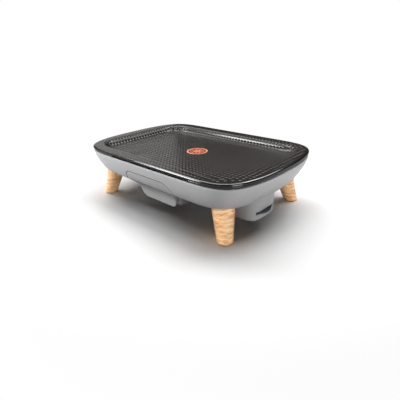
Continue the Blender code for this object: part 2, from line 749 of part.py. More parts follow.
def cover_screw_places():
    """Places of the cover screws, midway between the opening's edge and the cover's edge.

    One is at each end, and two are on each side, just outside the runners.
    """
    half_x = (OPENING_LENGTH + COVER_OVERLAP) / 2
    half_y = (OPENING_WIDTH + COVER_OVERLAP) / 2
    places = [(OPENING_CENTRE_X - half_x, 0.0), (OPENING_CENTRE_X + half_x, 0.0)]
    for x in (-SCREW_X, SCREW_X):
        along_share = abs(x - OPENING_CENTRE_X) / half_x
        y = half_y * (1 - along_share ** OPENING_POWER) ** (1 / OPENING_POWER)
        places += [(x, -y), (x, y)]
    return places


def corner_signs():
    """Signs of x and y at the four corners, with their names."""
    return (("front_left", -1, -1), ("front_right", 1, -1),
            ("rear_left", -1, 1), ("rear_right", 1, 1))


def make_shell(slot, hatch):
    """Base shell with its posts, bosses and openings."""
    shell = shell_surface("base_shell", "shell_grey")
    root = SHELL_FLOOR - SHELL_WALL / 2
    for corner, sx, sy in corner_signs():
        join(shell, cylinder("post_" + corner, (sx * POST_X, sy * POST_Y), POST_DIAMETER / 2,
                             root, REFLECTOR_FLOOR - SEAT_GAP, count=12))
        join(shell, cylinder("stud_boss_" + corner, (sx * LEG_TOP_X, sy * LEG_TOP_Y),
                             STUD_BOSS_DIAMETER / 2, root, SHELL_FLOOR + STUD_BOSS_HEIGHT,
                             count=16))
    screw_top = COVER_BOTTOM - SEAT_GAP + SCREW_LENGTH
    for number, spot in enumerate(cover_screw_places()):
        join(shell, cylinder("screw_boss_%d" % number, spot, SCREW_HOLE_RADIUS + BOSS_WALL,
                             root, screw_top + SEAT_GAP + BOSS_CAP, count=12))
    for number, spot in enumerate(cover_screw_places()):
        cut(shell, cylinder("screw_bore_%d" % number, spot, SCREW_HOLE_RADIUS,
                            SHELL_BOTTOM - OVERRUN, screw_top + SEAT_GAP, count=12))
    for corner, sx, sy in corner_signs():
        cut(shell, cylinder("stud_bore_" + corner, (sx * LEG_TOP_X, sy * LEG_TOP_Y),
                            STUD_DIAMETER / 2 + STUD_HOLE_CLEARANCE, SHELL_BOTTOM - OVERRUN,
                            SHELL_FLOOR + STUD_BOSS_HEIGHT + OVERRUN, count=16))
    cut(shell, front_block("front_window", FRONT_SEAM), slot, hatch)


def make_cover(slot):
    """Bottom cover below the service opening."""
    outline = opening_outline(COVER_OVERLAP)
    cover = loft("bottom_cover", [(outline, COVER_BOTTOM), (outline, COVER_TOP)], "shell_grey")
    for number, spot in enumerate(cover_screw_places()):
        cut(cover, cylinder("cover_hole_%d" % number, spot, SCREW_HOLE_RADIUS,
                            COVER_BOTTOM - OVERRUN, COVER_TOP + OVERRUN, count=12))
    cut(cover, slot)
    head_top = COVER_BOTTOM - SEAT_GAP
    for number, spot in enumerate(cover_screw_places()):
        profile = [
            (0.0, head_top + SCREW_LENGTH),
            (SCREW_SHANK_DIAMETER / 2, head_top + SCREW_LENGTH),
            (SCREW_SHANK_DIAMETER / 2, head_top),
            (SCREW_HEAD_DIAMETER / 2, head_top),
            (SCREW_HEAD_DIAMETER / 2, head_top - SCREW_HEAD_HEIGHT / 2),
            (SCREW_SHANK_DIAMETER / 2, head_top - SCREW_HEAD_HEIGHT),
            (0.0, head_top - SCREW_HEAD_HEIGHT),
        ]
        turned("cover_screw_%d" % (number + 1), profile, spot, "bright_steel", count=12)


def make_reflector():
    """Reflector tray of thin sheet with an upturned edge."""
    def edge(draw_in):
        return superellipse(REFLECTOR_LENGTH / 2 - draw_in, REFLECTOR_WIDTH / 2 - draw_in,
                            REFLECTOR_POWER, REFLECTOR_POWER, REFLECTOR_COUNT)

    top = REFLECTOR_FLOOR + REFLECTOR_EDGE_HEIGHT
    rings = [(edge(REFLECTOR_CORNER), REFLECTOR_FLOOR),
             (edge(REFLECTOR_CORNER / 4), REFLECTOR_FLOOR + REFLECTOR_CORNER / 4),
             (edge(0.0), top)]
    tray = thicken(loft("reflector_tray", rings, "aluminised_sheet", cap_last=False),
                   REFLECTOR_SHEET)
    for name, spot in element_ends():
        cut(tray, cylinder("terminal_hole_" + name, spot,
                           ELEMENT_RADIUS + INSULATOR_WALL + 2 * SEAT_GAP,
                           REFLECTOR_FLOOR - OVERRUN, REFLECTOR_TOP + OVERRUN / 2, count=20))
    cut(tray, cylinder("sensor_hole", (SENSOR_X, SENSOR_Y),
                       SENSOR_DIAMETER / 2 + SENSOR_GUIDE_WALL + 2 * SEAT_GAP,
                       REFLECTOR_FLOOR - OVERRUN, REFLECTOR_TOP + OVERRUN / 2, count=20))


def element_rows():
    """Heights across the tray, along y, of the element's four straight runs."""
    return [ELEMENT_PITCH * (row - (ELEMENT_ROWS - 1) / 2) for row in range(ELEMENT_ROWS)]


def element_ends():
    """Names and (x, y) places of the element's two upright ends."""
    rows = element_rows()
    return (("front", (ELEMENT_END_X, rows[0])), ("rear", (ELEMENT_END_X, rows[-1])))


def make_element():
    """Tubular heating element: four runs with three U-turns, and two ends bent down."""
    rows = element_rows()
    bend = ELEMENT_BEND_RADIUS
    knee = []
    for turn in np.linspace(0.0, pi / 2, BEND_STEPS + 1):
        knee.append((ELEMENT_END_X - bend * (1 - cos(turn)), ELEMENT_Z - bend * (1 - sin(turn))))
    points = [(ELEMENT_END_X, rows[0], ELEMENT_Z - ELEMENT_END_DROP)]
    points += [(x, rows[0], z) for x, z in knee]
    radius = ELEMENT_PITCH / 2
    for index, side in enumerate((-1, 1, -1)):
        middle = (side * ELEMENT_TURN_X, (rows[index] + rows[index + 1]) / 2)
        sweep = arc(middle, radius, -pi / 2, -pi / 2 + side * pi, TURN_STEPS)
        points += [(x, y, ELEMENT_Z) for x, y in sweep]
    points += [(x, rows[-1], z) for x, z in reversed(knee)]
    points.append((ELEMENT_END_X, rows[-1], ELEMENT_Z - ELEMENT_END_DROP))
    tube("heating_element", points, ELEMENT_RADIUS, "element_steel")


def make_saddles():
    """Saddles that carry the element above the reflector, one for each straight run."""
    low = REFLECTOR_TOP + SEAT_GAP
    for number, row in enumerate(element_rows()):
        x = SADDLE_X if number % 2 else -SADDLE_X
        saddle = box("element_saddle_%d" % (number + 1),
                     (x - SADDLE_LENGTH / 2, row - SADDLE_WIDTH / 2, low),
                     (x + SADDLE_LENGTH / 2, row + SADDLE_WIDTH / 2, ELEMENT_Z), "bright_steel")
        bm = bmesh.new()
        bmesh.ops.create_cone(bm, cap_ends=True, segments=20, radius1=ELEMENT_RADIUS + SEAT_GAP,
                              radius2=ELEMENT_RADIUS + SEAT_GAP, depth=SADDLE_LENGTH + OVERRUN)
        turn = Matrix.Translation((x, row, ELEMENT_Z)) @ Matrix.Rotation(pi / 2, 4, "Y")
        cut(saddle, mesh_object("saddle_groove_%d" % (number + 1), bm, None, turn))


def make_insulators():
    """Ceramic insulators where the element's ends pass through the reflector."""
    bore = ELEMENT_RADIUS + SEAT_GAP
    outside = ELEMENT_RADIUS + INSULATOR_WALL
    seat = REFLECTOR_TOP + SEAT_GAP
    for name, spot in element_ends():
        profile = [
            (outside + INSULATOR_FLANGE, seat + INSULATOR_FLANGE_HEIGHT),
            (outside + INSULATOR_FLANGE, seat),
            (outside, seat),
            (outside, seat - INSULATOR_DEPTH),
            (bore, seat - INSULATOR_DEPTH),
            (bore, seat + INSULATOR_FLANGE_HEIGHT),
        ]
        turned("terminal_insulator_" + name, profile, spot, "ceramic_white", count=20)


def make_sensor():
    """Sensor capsule that the plate presses down, its guide, spring and lead."""
    spot = (SENSOR_X, SENSOR_Y)
    radius = SENSOR_DIAMETER / 2
    bore = radius + SEAT_GAP
    outside = radius + SENSOR_GUIDE_WALL
    seat = REFLECTOR_TOP + SEAT_GAP
    rim = seat + SENSOR_GUIDE_FLANGE_HEIGHT
    floor = GUIDE_BOTTOM + SENSOR_GUIDE_FLOOR
    guide = [
        (outside + SENSOR_GUIDE_FLANGE, rim),
        (outside + SENSOR_GUIDE_FLANGE, seat),
        (outside, seat),
        (outside, GUIDE_BOTTOM),
        (SENSOR_LEAD_DIAMETER, GUIDE_BOTTOM),
        (SENSOR_LEAD_DIAMETER, floor),
        (bore, floor),
        (bore, rim),
    ]
    turned("sensor_guide", guide, spot, "ceramic_white", count=24)
    edge = radius / 4
    capsule = [
        (0.0, SENSOR_TOP),
        (radius - edge, SENSOR_TOP),
        (radius, SENSOR_TOP - edge),
        (radius, SENSOR_BOTTOM),
        (0.0, SENSOR_BOTTOM),
    ]
    turned("sensor_capsule", capsule, spot, "aluminised_sheet", count=24)
    wire = SPRING_WIRE / 2
    coil = radius - edge - wire
    low = floor + SEAT_GAP + wire
    high = SENSOR_BOTTOM - SEAT_GAP - wire
    total = SPRING_TURNS * SPRING_POINTS_PER_TURN
    points = []
    for step in range(total + 1):
        turn = 2 * pi * step / SPRING_POINTS_PER_TURN
        points.append((SENSOR_X + coil * cos(turn), SENSOR_Y + coil * sin(turn),
                       low + (high - low) * step / total))
    tube("sensor_spring", points, wire, "bright_steel", resolution=1)
    top = THERMOSTAT_TOP + SEAT_GAP
    start = GUIDE_BOTTOM - SEAT_GAP
    middle = (start + top) / 2
    route = [
        (SENSOR_X, SENSOR_Y, start),
        (SENSOR_X, SENSOR_Y, middle),
        ((SENSOR_X + DIAL_X) / 2, (SENSOR_Y + DIAL_Y) / 2, middle - SENSOR_LEAD_DIAMETER),
        (DIAL_X, DIAL_Y, middle - SENSOR_LEAD_DIAMETER),
        (DIAL_X, DIAL_Y, top),
    ]
    tube("sensor_lead", route, SENSOR_LEAD_DIAMETER / 2, "bright_steel")


def housing_outline(inset):
    """Plan of the control housing, drawn in by inset."""
    return superellipse(HOUSING_LENGTH / 2 - inset, HOUSING_WIDTH / 2 - inset, HOUSING_END_POWER,
                        HOUSING_SIDE_POWER, HOUSING_COUNT, (HOUSING_CENTRE_X, HOUSING_CENTRE_Y))


def housing_rings(inset=0.0):
    """Rings of the housing's drafted side over its rounded foot, drawn in and up by the inset."""
    top = SHELL_BOTTOM + 2 * OVERRUN
    low = HOUSING_DRAFT + inset
    return [
        (housing_outline(low + HOUSING_ROUND), HOUSING_BOTTOM + inset),
        (housing_outline(low + HOUSING_ROUND * CHAMFER_SHARE),
         HOUSING_BOTTOM + inset + HOUSING_ROUND * CHAMFER_SHARE),
        (housing_outline(low), HOUSING_BOTTOM + inset + HOUSING_ROUND),
        (housing_outline(inset), top),
    ]


def make_housing(envelope):
    """Control housing: a drafted tub trimmed to the shell, with its slot, ledges and inlet hole.

    The ledges that carry the bracket end in the middle of the wall.
    """
    rings = housing_rings()
    housing = thicken(loft("control_housing", rings, "shell_grey", cap_last=False), HOUSING_WALL)
    core = loft("housing_core", housing_rings(HOUSING_WALL / 2), None)
    ledge_near = DIAL_X - BRACKET_WIDTH / 2
    ledge_far = DIAL_X + BRACKET_WIDTH / 2
    reach = DIAL_RADIUS + RUNNING_GAP
    for name, inner, outer in (("front", DIAL_Y - reach, HOUSING_CENTRE_Y - HOUSING_WIDTH / 2),
                               ("rear", DIAL_Y + reach, HOUSING_CENTRE_Y + HOUSING_WIDTH / 2)):
        near, far = sorted((inner, outer))
        ledge = box("ledge_" + name, (ledge_near, near, HOUSING_BOTTOM),
                    (ledge_far, far, BRACKET_BOTTOM - SEAT_GAP))
        join(housing, combine(ledge, core, "INTERSECT"))
    cut(housing, envelope)
    cut(housing, box("dial_slot", (DIAL_X, DIAL_Y - DIAL_SLOT_WIDTH / 2, DIAL_BOTTOM - RUNNING_GAP),
                     (HOUSING_CENTRE_X + HOUSING_LENGTH / 2 + OVERRUN,
                      DIAL_Y + DIAL_SLOT_WIDTH / 2, DIAL_BOTTOM + DIAL_THICKNESS + RUNNING_GAP)))
    half_length = INLET_LENGTH / 2 + SEAT_GAP
    half_height = INLET_HEIGHT / 2 + SEAT_GAP
    rear = HOUSING_CENTRE_Y + HOUSING_WIDTH / 2
    cut(housing, box("inlet_hole", (INLET_X - half_length, rear - 2 * OVERRUN, INLET_Z - half_height),
                     (INLET_X + half_length, rear + OVERRUN, INLET_Z + half_height)))


def make_dial():
    """Thermostat dial with a toothed rim, on its shaft."""
    points = []
    steps = DIAL_TEETH * 3
    for step in range(steps):
        turn = 2 * pi * step / steps
        wave = DIAL_TOOTH_DEPTH * (1 - cos(DIAL_TEETH * turn)) / 2
        points.append(((DIAL_RADIUS - wave) * cos(turn), (DIAL_RADIUS - wave) * sin(turn)))
    middle = DIAL_BOTTOM + DIAL_THICKNESS / 2
    dial = prism("thermostat_dial", points, DIAL_THICKNESS,
                 Matrix.Translation((DIAL_X, DIAL_Y, middle)), "dark_plastic")
    origin_at(dial, (DIAL_X, DIAL_Y, middle))
    shaft_radius = SHAFT_DIAMETER / 2
    cut(dial, cylinder("dial_bore", (DIAL_X, DIAL_Y), shaft_radius + SEAT_GAP,
                       DIAL_BOTTOM - OVERRUN, DIAL_BOTTOM + DIAL_THICKNESS + OVERRUN, count=20))
    collar_top = DIAL_BOTTOM - SEAT_GAP
    profile = [
        (0.0, BRACKET_TOP),
        (shaft_radius, BRACKET_TOP),
        (shaft_radius, collar_top),
        (shaft_radius + SHAFT_COLLAR, collar_top),
        (shaft_radius + SHAFT_COLLAR, collar_top - SHAFT_COLLAR_HEIGHT),
        (0.0, collar_top - SHAFT_COLLAR_HEIGHT),
    ]
    turned("dial_shaft", profile, (DIAL_X, DIAL_Y), "bright_steel", count=20)


def make_thermostat():
    """Thermostat body on its bracket."""
    reach = DIAL_RADIUS + RUNNING_GAP + BRACKET_OVERLAP
    bracket = box("thermostat_bracket", (DIAL_X - BRACKET_WIDTH / 2, DIAL_Y - reach, BRACKET_BOTTOM),
                  (DIAL_X + BRACKET_WIDTH / 2, DIAL_Y + reach, BRACKET_TOP), "bright_steel")
    cut(bracket, cylinder("bracket_hole", (DIAL_X, DIAL_Y), SHAFT_DIAMETER / 2 + RUNNING_GAP,
                          BRACKET_BOTTOM - OVERRUN, BRACKET_TOP + OVERRUN, count=20))
    body = box("thermostat_body",
               (DIAL_X - THERMOSTAT_LENGTH / 2, DIAL_Y - THERMOSTAT_WIDTH / 2, THERMOSTAT_BOTTOM),
               (DIAL_X + THERMOSTAT_LENGTH / 2, DIAL_Y + THERMOSTAT_WIDTH / 2, THERMOSTAT_TOP),
               "dark_plastic")
    edge = body.modifiers.new("edge", "BEVEL")
    edge.width = THERMOSTAT_EDGE
    edge.segments = 2


def make_hatch():
    """Hole in the shell's bottom for the thermostat and the leads."""
    return box("thermostat_hatch",
               (DIAL_X - THERMOSTAT_LENGTH / 2 - HATCH_MARGIN,
                DIAL_Y - THERMOSTAT_WIDTH / 2 - HATCH_MARGIN, SHELL_BOTTOM - OVERRUN),
               (DIAL_X + THERMOSTAT_LENGTH / 2 + HATCH_OUTER_MARGIN,
                DIAL_Y + THERMOSTAT_WIDTH / 2 + HATCH_MARGIN, SHELL_FLOOR + OVERRUN / 3))


def make_inlet():
    """Appliance inlet in the housing's rear side, with three pins."""
    flange_near = HOUSING_CENTRE_Y + HOUSING_WIDTH / 2 + SEAT_GAP
    mouth = flange_near + INLET_FLANGE_THICKNESS
    back = mouth - INLET_DEPTH
    body = box("inlet_body", (INLET_X - INLET_LENGTH / 2, back, INLET_Z - INLET_HEIGHT / 2),
               (INLET_X + INLET_LENGTH / 2, mouth - INLET_FLANGE_THICKNESS / 2,
                INLET_Z + INLET_HEIGHT / 2), "dark_plastic")
    half_length = INLET_LENGTH / 2 + INLET_FLANGE
    half_height = INLET_HEIGHT / 2 + INLET_FLANGE
    join(body, box("inlet_flange", (INLET_X - half_length, flange_near, INLET_Z - half_height),
                   (INLET_X + half_length, mouth, INLET_Z + half_height)))
    hollow_length = INLET_LENGTH / 2 - INLET_WALL
    hollow_height = INLET_HEIGHT / 2 - INLET_WALL
    cut(body, box("inlet_hollow", (INLET_X - hollow_length, back + INLET_BACK,
                                   INLET_Z - hollow_height),
                  (INLET_X + hollow_length, mouth + OVERRUN, INLET_Z + hollow_height)))
    names = ("live", "earth", "neutral")
    for index, name in enumerate(names):
        x = INLET_X + PIN_PITCH * (index - 1)
        low = (x - PIN_THICKNESS / 2, back - PIN_TAB, INLET_Z - PIN_WIDTH / 2)
        high = (x + PIN_THICKNESS / 2, back + INLET_BACK + PIN_REACH, INLET_Z + PIN_WIDTH / 2)
        cut(body, box("pin_slot_" + name, [v - SEAT_GAP for v in low],
                      [v + SEAT_GAP for v in high]))
        box("inlet_pin_" + name, low, high, "brass_pin")


def make_tray_front():
    """Juice tray front: a piece of the shell's own surface with a grip lofted below it."""
    front = shell_surface("juice_tray_front", "shell_grey")
    combine(front, front_block("front_keep", 0.0), "INTERSECT")
    seat = GRIP_BACK
    wing_back = SHELL_SIDE_TAPER + RING_SHELL_INSET + FRONT_LIP_DEPTH - HALF_WIDTH
    lip_front = SHELL_SIDE_TAPER + RING_SHELL_INSET - HALF_WIDTH + SHELL_WALL * GRIP_LIP_SHARE
    drop = SHELL_BOTTOM - GRIP_BOTTOM
    depth = seat - lip_front
    # Share of the drop below the shell, of the grip's half width, and of the way from the
    # shell's edge back to the bin for the front face and the back face
    grip_shares = (
        (1.000, 0.540, 0.935, 0.980),
        (0.985, 0.580, 0.915, 0.990),
        (0.930, 0.640, 0.890, 1.000),
        (0.820, 0.700, 0.850, 1.000),
        (0.600, 0.755, 0.760, 1.000),
        (0.430, 0.785, 0.650, 1.000),
        (0.250, 0.825, 0.465, 1.000),
        (0.140, 0.885, 0.265, 0.680),
        (0.070, 0.940, 0.112, 0.500),
        (0.010, 0.985, -0.015, 0.395),
        (-0.035, 0.960, 0.040, 0.350),
    )
    rings = []
    for drop_share, width_share, near_share, far_share in grip_shares:
        half = FRONT_LOW_HALF * width_share
        near = lip_front + depth * near_share
        far = lip_front + depth * far_share
        corner = min((far - near) * GRIP_CORNER_SHARE, GRIP_CORNER_RADIUS)
        outline = rounded([(-half, near), (half, near), (half, far), (-half, far)],
                          (corner, corner, corner, corner), steps=4)
        rings.append((outline, SHELL_BOTTOM - drop * drop_share))
    join(front, loft("grip", rings, None))


def make_tray_bin():
    """Juice tray bin with rounded corners and a flange that runs in the runners."""
    middle = (BIN_FRONT + BIN_REAR) / 2
    half_y = BIN_LENGTH / 2

    def outline(grow, radius):
        corners = [(-BIN_HALF - grow, middle - half_y - grow), (BIN_HALF + grow, middle - half_y - grow),
                   (BIN_HALF + grow, middle + half_y + grow), (-BIN_HALF - grow, middle + half_y + grow)]
        return rounded(corners, (radius, radius, radius, radius), steps=4)

    rings = [
        (outline(-BIN_FOOT_ROUND, BIN_CORNER - BIN_FOOT_ROUND), BIN_BOTTOM),
        (outline(-BIN_FOOT_ROUND * CHAMFER_SHARE, BIN_CORNER - BIN_FOOT_ROUND * CHAMFER_SHARE),
         BIN_BOTTOM + BIN_FOOT_ROUND * CHAMFER_SHARE),
        (outline(0.0, BIN_CORNER), BIN_BOTTOM + BIN_FOOT_ROUND),
        (outline(0.0, BIN_CORNER), BIN_FLANGE_BOTTOM),
        (outline(BIN_FLANGE, BIN_CORNER + BIN_FLANGE), BIN_FLANGE_BOTTOM),
    ]
    thicken(loft("juice_tray_bin", rings, "shell_grey", cap_last=False), BIN_WALL)


def make_runners():
    """Two channels on the shell's bottom that hold the bin's flange."""
    lip_top = BIN_FLANGE_BOTTOM - SEAT_GAP
    cap_low = BIN_TOP + RUNNING_GAP
    cap_high = cap_low + RUNNER_LIP
    outer = RUNNER_CHANNEL + RUNNER_WEB
    foot_top = RUNNER_BOTTOM + RUNNER_FOOT_THICKNESS
    section = [
        (RUNNER_INNER, RUNNER_BOTTOM),
        (RUNNER_OUTER, RUNNER_BOTTOM),
        (RUNNER_OUTER, foot_top),
        (outer, foot_top),
        (outer, cap_high),
        (RUNNER_INNER, cap_high),
        (RUNNER_INNER, cap_low),
        (RUNNER_CHANNEL, cap_low),
        (RUNNER_CHANNEL, lip_top),
        (RUNNER_INNER, lip_top),
    ]
    matrix = Matrix.Translation((0.0, (RUNNER_FRONT + RUNNER_REAR) / 2, 0.0)) @ UPRIGHT
    length = RUNNER_REAR - RUNNER_FRONT
    for name, side in (("left", -1), ("right", 1)):
        outline = [(side * x, z) for x, z in section]
        prism("tray_runner_" + name, outline, length, matrix, "dark_plastic")


def make_chute():
    """Sloping gutter that leads the juice from the drain spout to the bin."""
    half = CHUTE_LENGTH / 2
    side = CHUTE_WIDTH / 2
    tilt = Matrix.Translation((CHUTE_CENTRE_X, DRAIN_Y, CHUTE_CENTRE_Z)) @ Matrix.Rotation(
        CHUTE_SLOPE, 4, "Y")
    chute = box("juice_chute", (-half, -side, 0.0), (half, side, CHUTE_HEIGHT), "dark_plastic", tilt)
    post_x = CHUTE_CENTRE_X - half + CHUTE_POST
    post_side = CHUTE_POST / 2
    join(chute, box("chute_post", (post_x - post_side, DRAIN_Y - post_side, SHELL_FLOOR + SEAT_GAP),
                    (post_x + post_side, DRAIN_Y + post_side, CHUTE_CENTRE_Z + CHUTE_HEIGHT / 3)))
    cut(chute, box("chute_hollow", (CHUTE_WALL - half, CHUTE_WALL - side, CHUTE_WALL),
                   (half + OVERRUN, side - CHUTE_WALL, CHUTE_HEIGHT + OVERRUN), None, tilt))


def make_leg(corner, sx, sy, envelope):
    """One splayed wooden leg with its stud, nut and glide pad."""
    def centre(height):
        share = height / SHELL_BOTTOM
        x = LEG_FOOT_X + (LEG_TOP_X - LEG_FOOT_X) * share
        y = LEG_FOOT_Y + (LEG_TOP_Y - LEG_FOOT_Y) * share
        return sx * x, sy * y

    def radius(height):
        return LEG_FOOT_RADIUS + (LEG_TOP_RADIUS - LEG_FOOT_RADIUS) * height / SHELL_BOTTOM

    def ring(height, draw_in):
        size = radius(height) - draw_in
        return superellipse(size, size, 2.0, 2.0, LEG_COUNT, centre(height)), height

    rings = [ring(LEG_FOOT_GAP, LEG_FOOT_ROUND),
             ring(LEG_FOOT_GAP + LEG_FOOT_ROUND * CHAMFER_SHARE, LEG_FOOT_ROUND * CHAMFER_SHARE),
             ring(LEG_FOOT_GAP + LEG_FOOT_ROUND, 0.0),
             ring(SHELL_BOTTOM + 4 * OVERRUN, 0.0)]
    leg = loft("leg_" + corner, rings, "beech")
    spot = (sx * LEG_TOP_X, sy * LEG_TOP_Y)
    foot = (sx * LEG_FOOT_X, sy * LEG_FOOT_Y)
    stud_radius = STUD_DIAMETER / 2
    cut(leg, envelope,
        cylinder("leg_bore_" + corner, spot, stud_radius + STUD_HOLE_CLEARANCE,
                 STUD_BOTTOM - SEAT_GAP, SHELL_BOTTOM + 5 * OVERRUN, count=20),
        cylinder("pad_recess_" + corner, foot, PAD_DIAMETER / 2 + SEAT_GAP, -OVERRUN,
                 PAD_THICKNESS + SEAT_GAP, count=24))
    cylinder("leg_stud_" + corner, spot, stud_radius, STUD_BOTTOM, STUD_TOP, "bright_steel",
             count=16)
    nut_low = SHELL_FLOOR + STUD_BOSS_HEIGHT + SEAT_GAP
    nut = cylinder("leg_nut_" + corner, spot, NUT_ACROSS / 2 / cos(pi / 6), nut_low,
                   nut_low + NUT_HEIGHT, "bright_steel", count=6)
    cut(nut, cylinder("nut_bore_" + corner, spot, stud_radius + STUD_HOLE_CLEARANCE,
                      nut_low - OVERRUN, nut_low + NUT_HEIGHT + OVERRUN, count=20))
    cylinder("glide_pad_" + corner, foot, PAD_DIAMETER / 2, 0.0, PAD_THICKNESS, "pad_rubber",
             count=24)


def main():
    """Build every piece."""
    slot = bin_slot()
    envelope = shell_envelope()
    make_plate()
    make_ring()
    make_shell(slot, make_hatch())
    make_cover(slot)
    make_reflector()
    make_element()
    make_saddles()
    make_insulators()
    make_sensor()
    make_housing(envelope)
    make_dial()
    make_thermostat()
    make_inlet()
    make_tray_front()
    make_tray_bin()
    make_runners()
    make_chute()
    for corner, sx, sy in corner_signs():
        make_leg(corner, sx, sy, envelope)


main()
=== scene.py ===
"""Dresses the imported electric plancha: a dimpled griddle plate on a grey base with beech legs.

Metres, +Z up, in the frame of the CAD model. The base's pieces ride on "base", the plate on
"plate", the juice tray on "juice_tray" and the dial on "dial".
"""
import json
from functools import cache
from math import cos, pi, sin

import bmesh
import bpy
import numpy as np
from bpy.props import FloatProperty, FloatVectorProperty, IntProperty, PointerProperty
from mathutils import Matrix, Vector

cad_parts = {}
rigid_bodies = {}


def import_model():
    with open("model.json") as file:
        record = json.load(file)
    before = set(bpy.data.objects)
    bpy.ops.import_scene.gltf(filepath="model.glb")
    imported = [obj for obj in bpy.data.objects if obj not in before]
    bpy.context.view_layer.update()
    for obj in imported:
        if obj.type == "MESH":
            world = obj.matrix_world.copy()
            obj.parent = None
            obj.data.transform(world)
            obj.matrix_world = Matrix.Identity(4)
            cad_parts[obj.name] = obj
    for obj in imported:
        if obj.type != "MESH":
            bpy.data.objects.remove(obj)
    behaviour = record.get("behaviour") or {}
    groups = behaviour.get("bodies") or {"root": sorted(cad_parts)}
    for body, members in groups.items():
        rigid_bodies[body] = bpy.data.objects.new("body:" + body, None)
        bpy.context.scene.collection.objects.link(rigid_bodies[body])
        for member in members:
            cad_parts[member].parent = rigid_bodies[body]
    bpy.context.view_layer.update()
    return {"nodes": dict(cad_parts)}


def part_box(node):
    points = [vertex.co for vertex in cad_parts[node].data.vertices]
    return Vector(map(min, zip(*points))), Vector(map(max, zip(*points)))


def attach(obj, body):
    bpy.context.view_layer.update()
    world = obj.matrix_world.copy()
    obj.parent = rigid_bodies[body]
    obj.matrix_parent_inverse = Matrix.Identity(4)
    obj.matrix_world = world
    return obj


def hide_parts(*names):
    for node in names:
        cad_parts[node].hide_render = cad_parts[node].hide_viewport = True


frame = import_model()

bl_info = {
    "name": "Electric plancha",
    "version": (1, 0, 0),
    "blender": (4, 5, 0),
    "location": "View3D > Sidebar > Plancha",
    "description": "Builds the visible pieces and finishes of a table plancha",
    "category": "Object",
}

MM = 0.001
SEAT_GAP = 0.3 * MM
CORNERS = [(sx, sy) for sx in (-1, 1) for sy in (-1, 1)]

# Outline that plate, ring and shell share
HALF_LENGTH = 255 * MM
HALF_WIDTH = 168.8 * MM
END_POWER = 9.31
SIDE_POWER = 2.545

# Griddle plate
PLATE_TOP = 134.3 * MM
PLATE_SKIRT = 130.0 * MM
PLATE_ROLL = 4 * MM
PLATE_SHEET = 3 * MM
WELL_HALF_LENGTH = 221 * MM
WELL_HALF_WIDTH = 141 * MM
WELL_FLOOR = 119.3 * MM
WELL_POWER = 8.0
# draw-in and height of the well's edge, wall and foot, in millimetres
WELL_EDGE = np.array((
    (-4.0, 0.0), (-3.0, -0.08), (-1.6, -0.45), (0.4, -1.4), (2.7, -3.2), (5.0, -7.5),
    (7.3, -11.8), (8.8, -13.4), (10.6, -14.5), (12.4, -14.92), (14.0, -15.0)))
DRAIN = (-94 * MM, -122 * MM)
DRAIN_RADIUS = 4.5 * MM
SPOUT_RADIUS = 6.5 * MM
SPOUT_BOTTOM = 108.8 * MM
SPOT = (4 * MM, 3 * MM)

# Support ring's cut-away front and rear: its ends at a level, their lean, and the cutter's
# heights, in millimetres; and how far out the cutter starts and ends
NOTCH_ENDS = np.array((-112.3, 143.0))
NOTCH_LEVEL = 129.7
NOTCH_LEAN = 4 / 6.6
NOTCH_HEIGHTS = np.array((117.0, 136.0))
NOTCH_NEAR = 162.3 * MM
NOTCH_FAR = 175.0 * MM

# Base shell
SHELL_TOP = 122.8 * MM
SHELL_LIP = 1.5 * MM
SHELL_BOTTOM = 72.4 * MM
SHELL_WALL = 3 * MM
SHELL_END_TAPER = 23.9 * MM
SHELL_SIDE_TAPER = 18.9 * MM
SHELL_INSET = 1 * MM
SHELL_CURVE = 1.29
SHELL_EDGE = 0.9 * MM
LIP_HEIGHT = SHELL_TOP - SHELL_LIP
CURVE_HEIGHT = LIP_HEIGHT - SHELL_BOTTOM

# Control housing and dial
HOUSING_CENTRE = (182.95 * MM, -42 * MM)
HOUSING_HALF = (54.85 * MM, 46 * MM)
HOUSING_POWERS = (4.5, 4.0)
HOUSING_BOTTOM = 34.4 * MM
HOUSING_TOP = 84.4 * MM
HOUSING_DRAFT = 1.2 * MM
HOUSING_ROUND = 3 * MM
HOUSING_WALL = 2.5 * MM
DIAL_CENTRE = (210.5 * MM, -45 * MM)
DIAL_TOOTH = 0.8 * MM

# Juice tray
BIN_HALF = 69 * MM
BIN_FRONT = -122.6 * MM
BIN_REAR = -28 * MM
BIN_BOTTOM = 35 * MM
BIN_WALL = 2.2 * MM
BIN_ROUND = 4 * MM
FRONT_TOP = 100 * MM
FRONT_TOP_HALF = 66 * MM
FRONT_LOW = 71.5 * MM
FRONT_LOW_HALF = 82 * MM
FRONT_CORNER = 24 * MM
FRONT_SEAM = 1.3 * MM
WING_BACK = -137.9 * MM
LIP_FRONT = -148.0 * MM
GRIP_REACH = 25.1 * MM
GRIP_DROP = 45.4 * MM
# drop share, half-width share, and shares of the reach for the grip's near and far faces
GRIP_SHARES = np.array((
    (0.000, 0.993, -0.032, 0.400), (0.010, 0.985, -0.015, 0.400), (0.035, 0.965, 0.040, 0.420),
    (0.070, 0.940, 0.112, 0.500), (0.140, 0.885, 0.265, 0.680), (0.250, 0.825, 0.465, 1.000),
    (0.430, 0.785, 0.650, 1.000), (0.600, 0.755, 0.760, 1.000), (0.820, 0.700, 0.850, 1.000),
    (0.930, 0.640, 0.890, 1.000), (0.985, 0.580, 0.915, 0.990), (1.000, 0.540, 0.935, 0.980)))

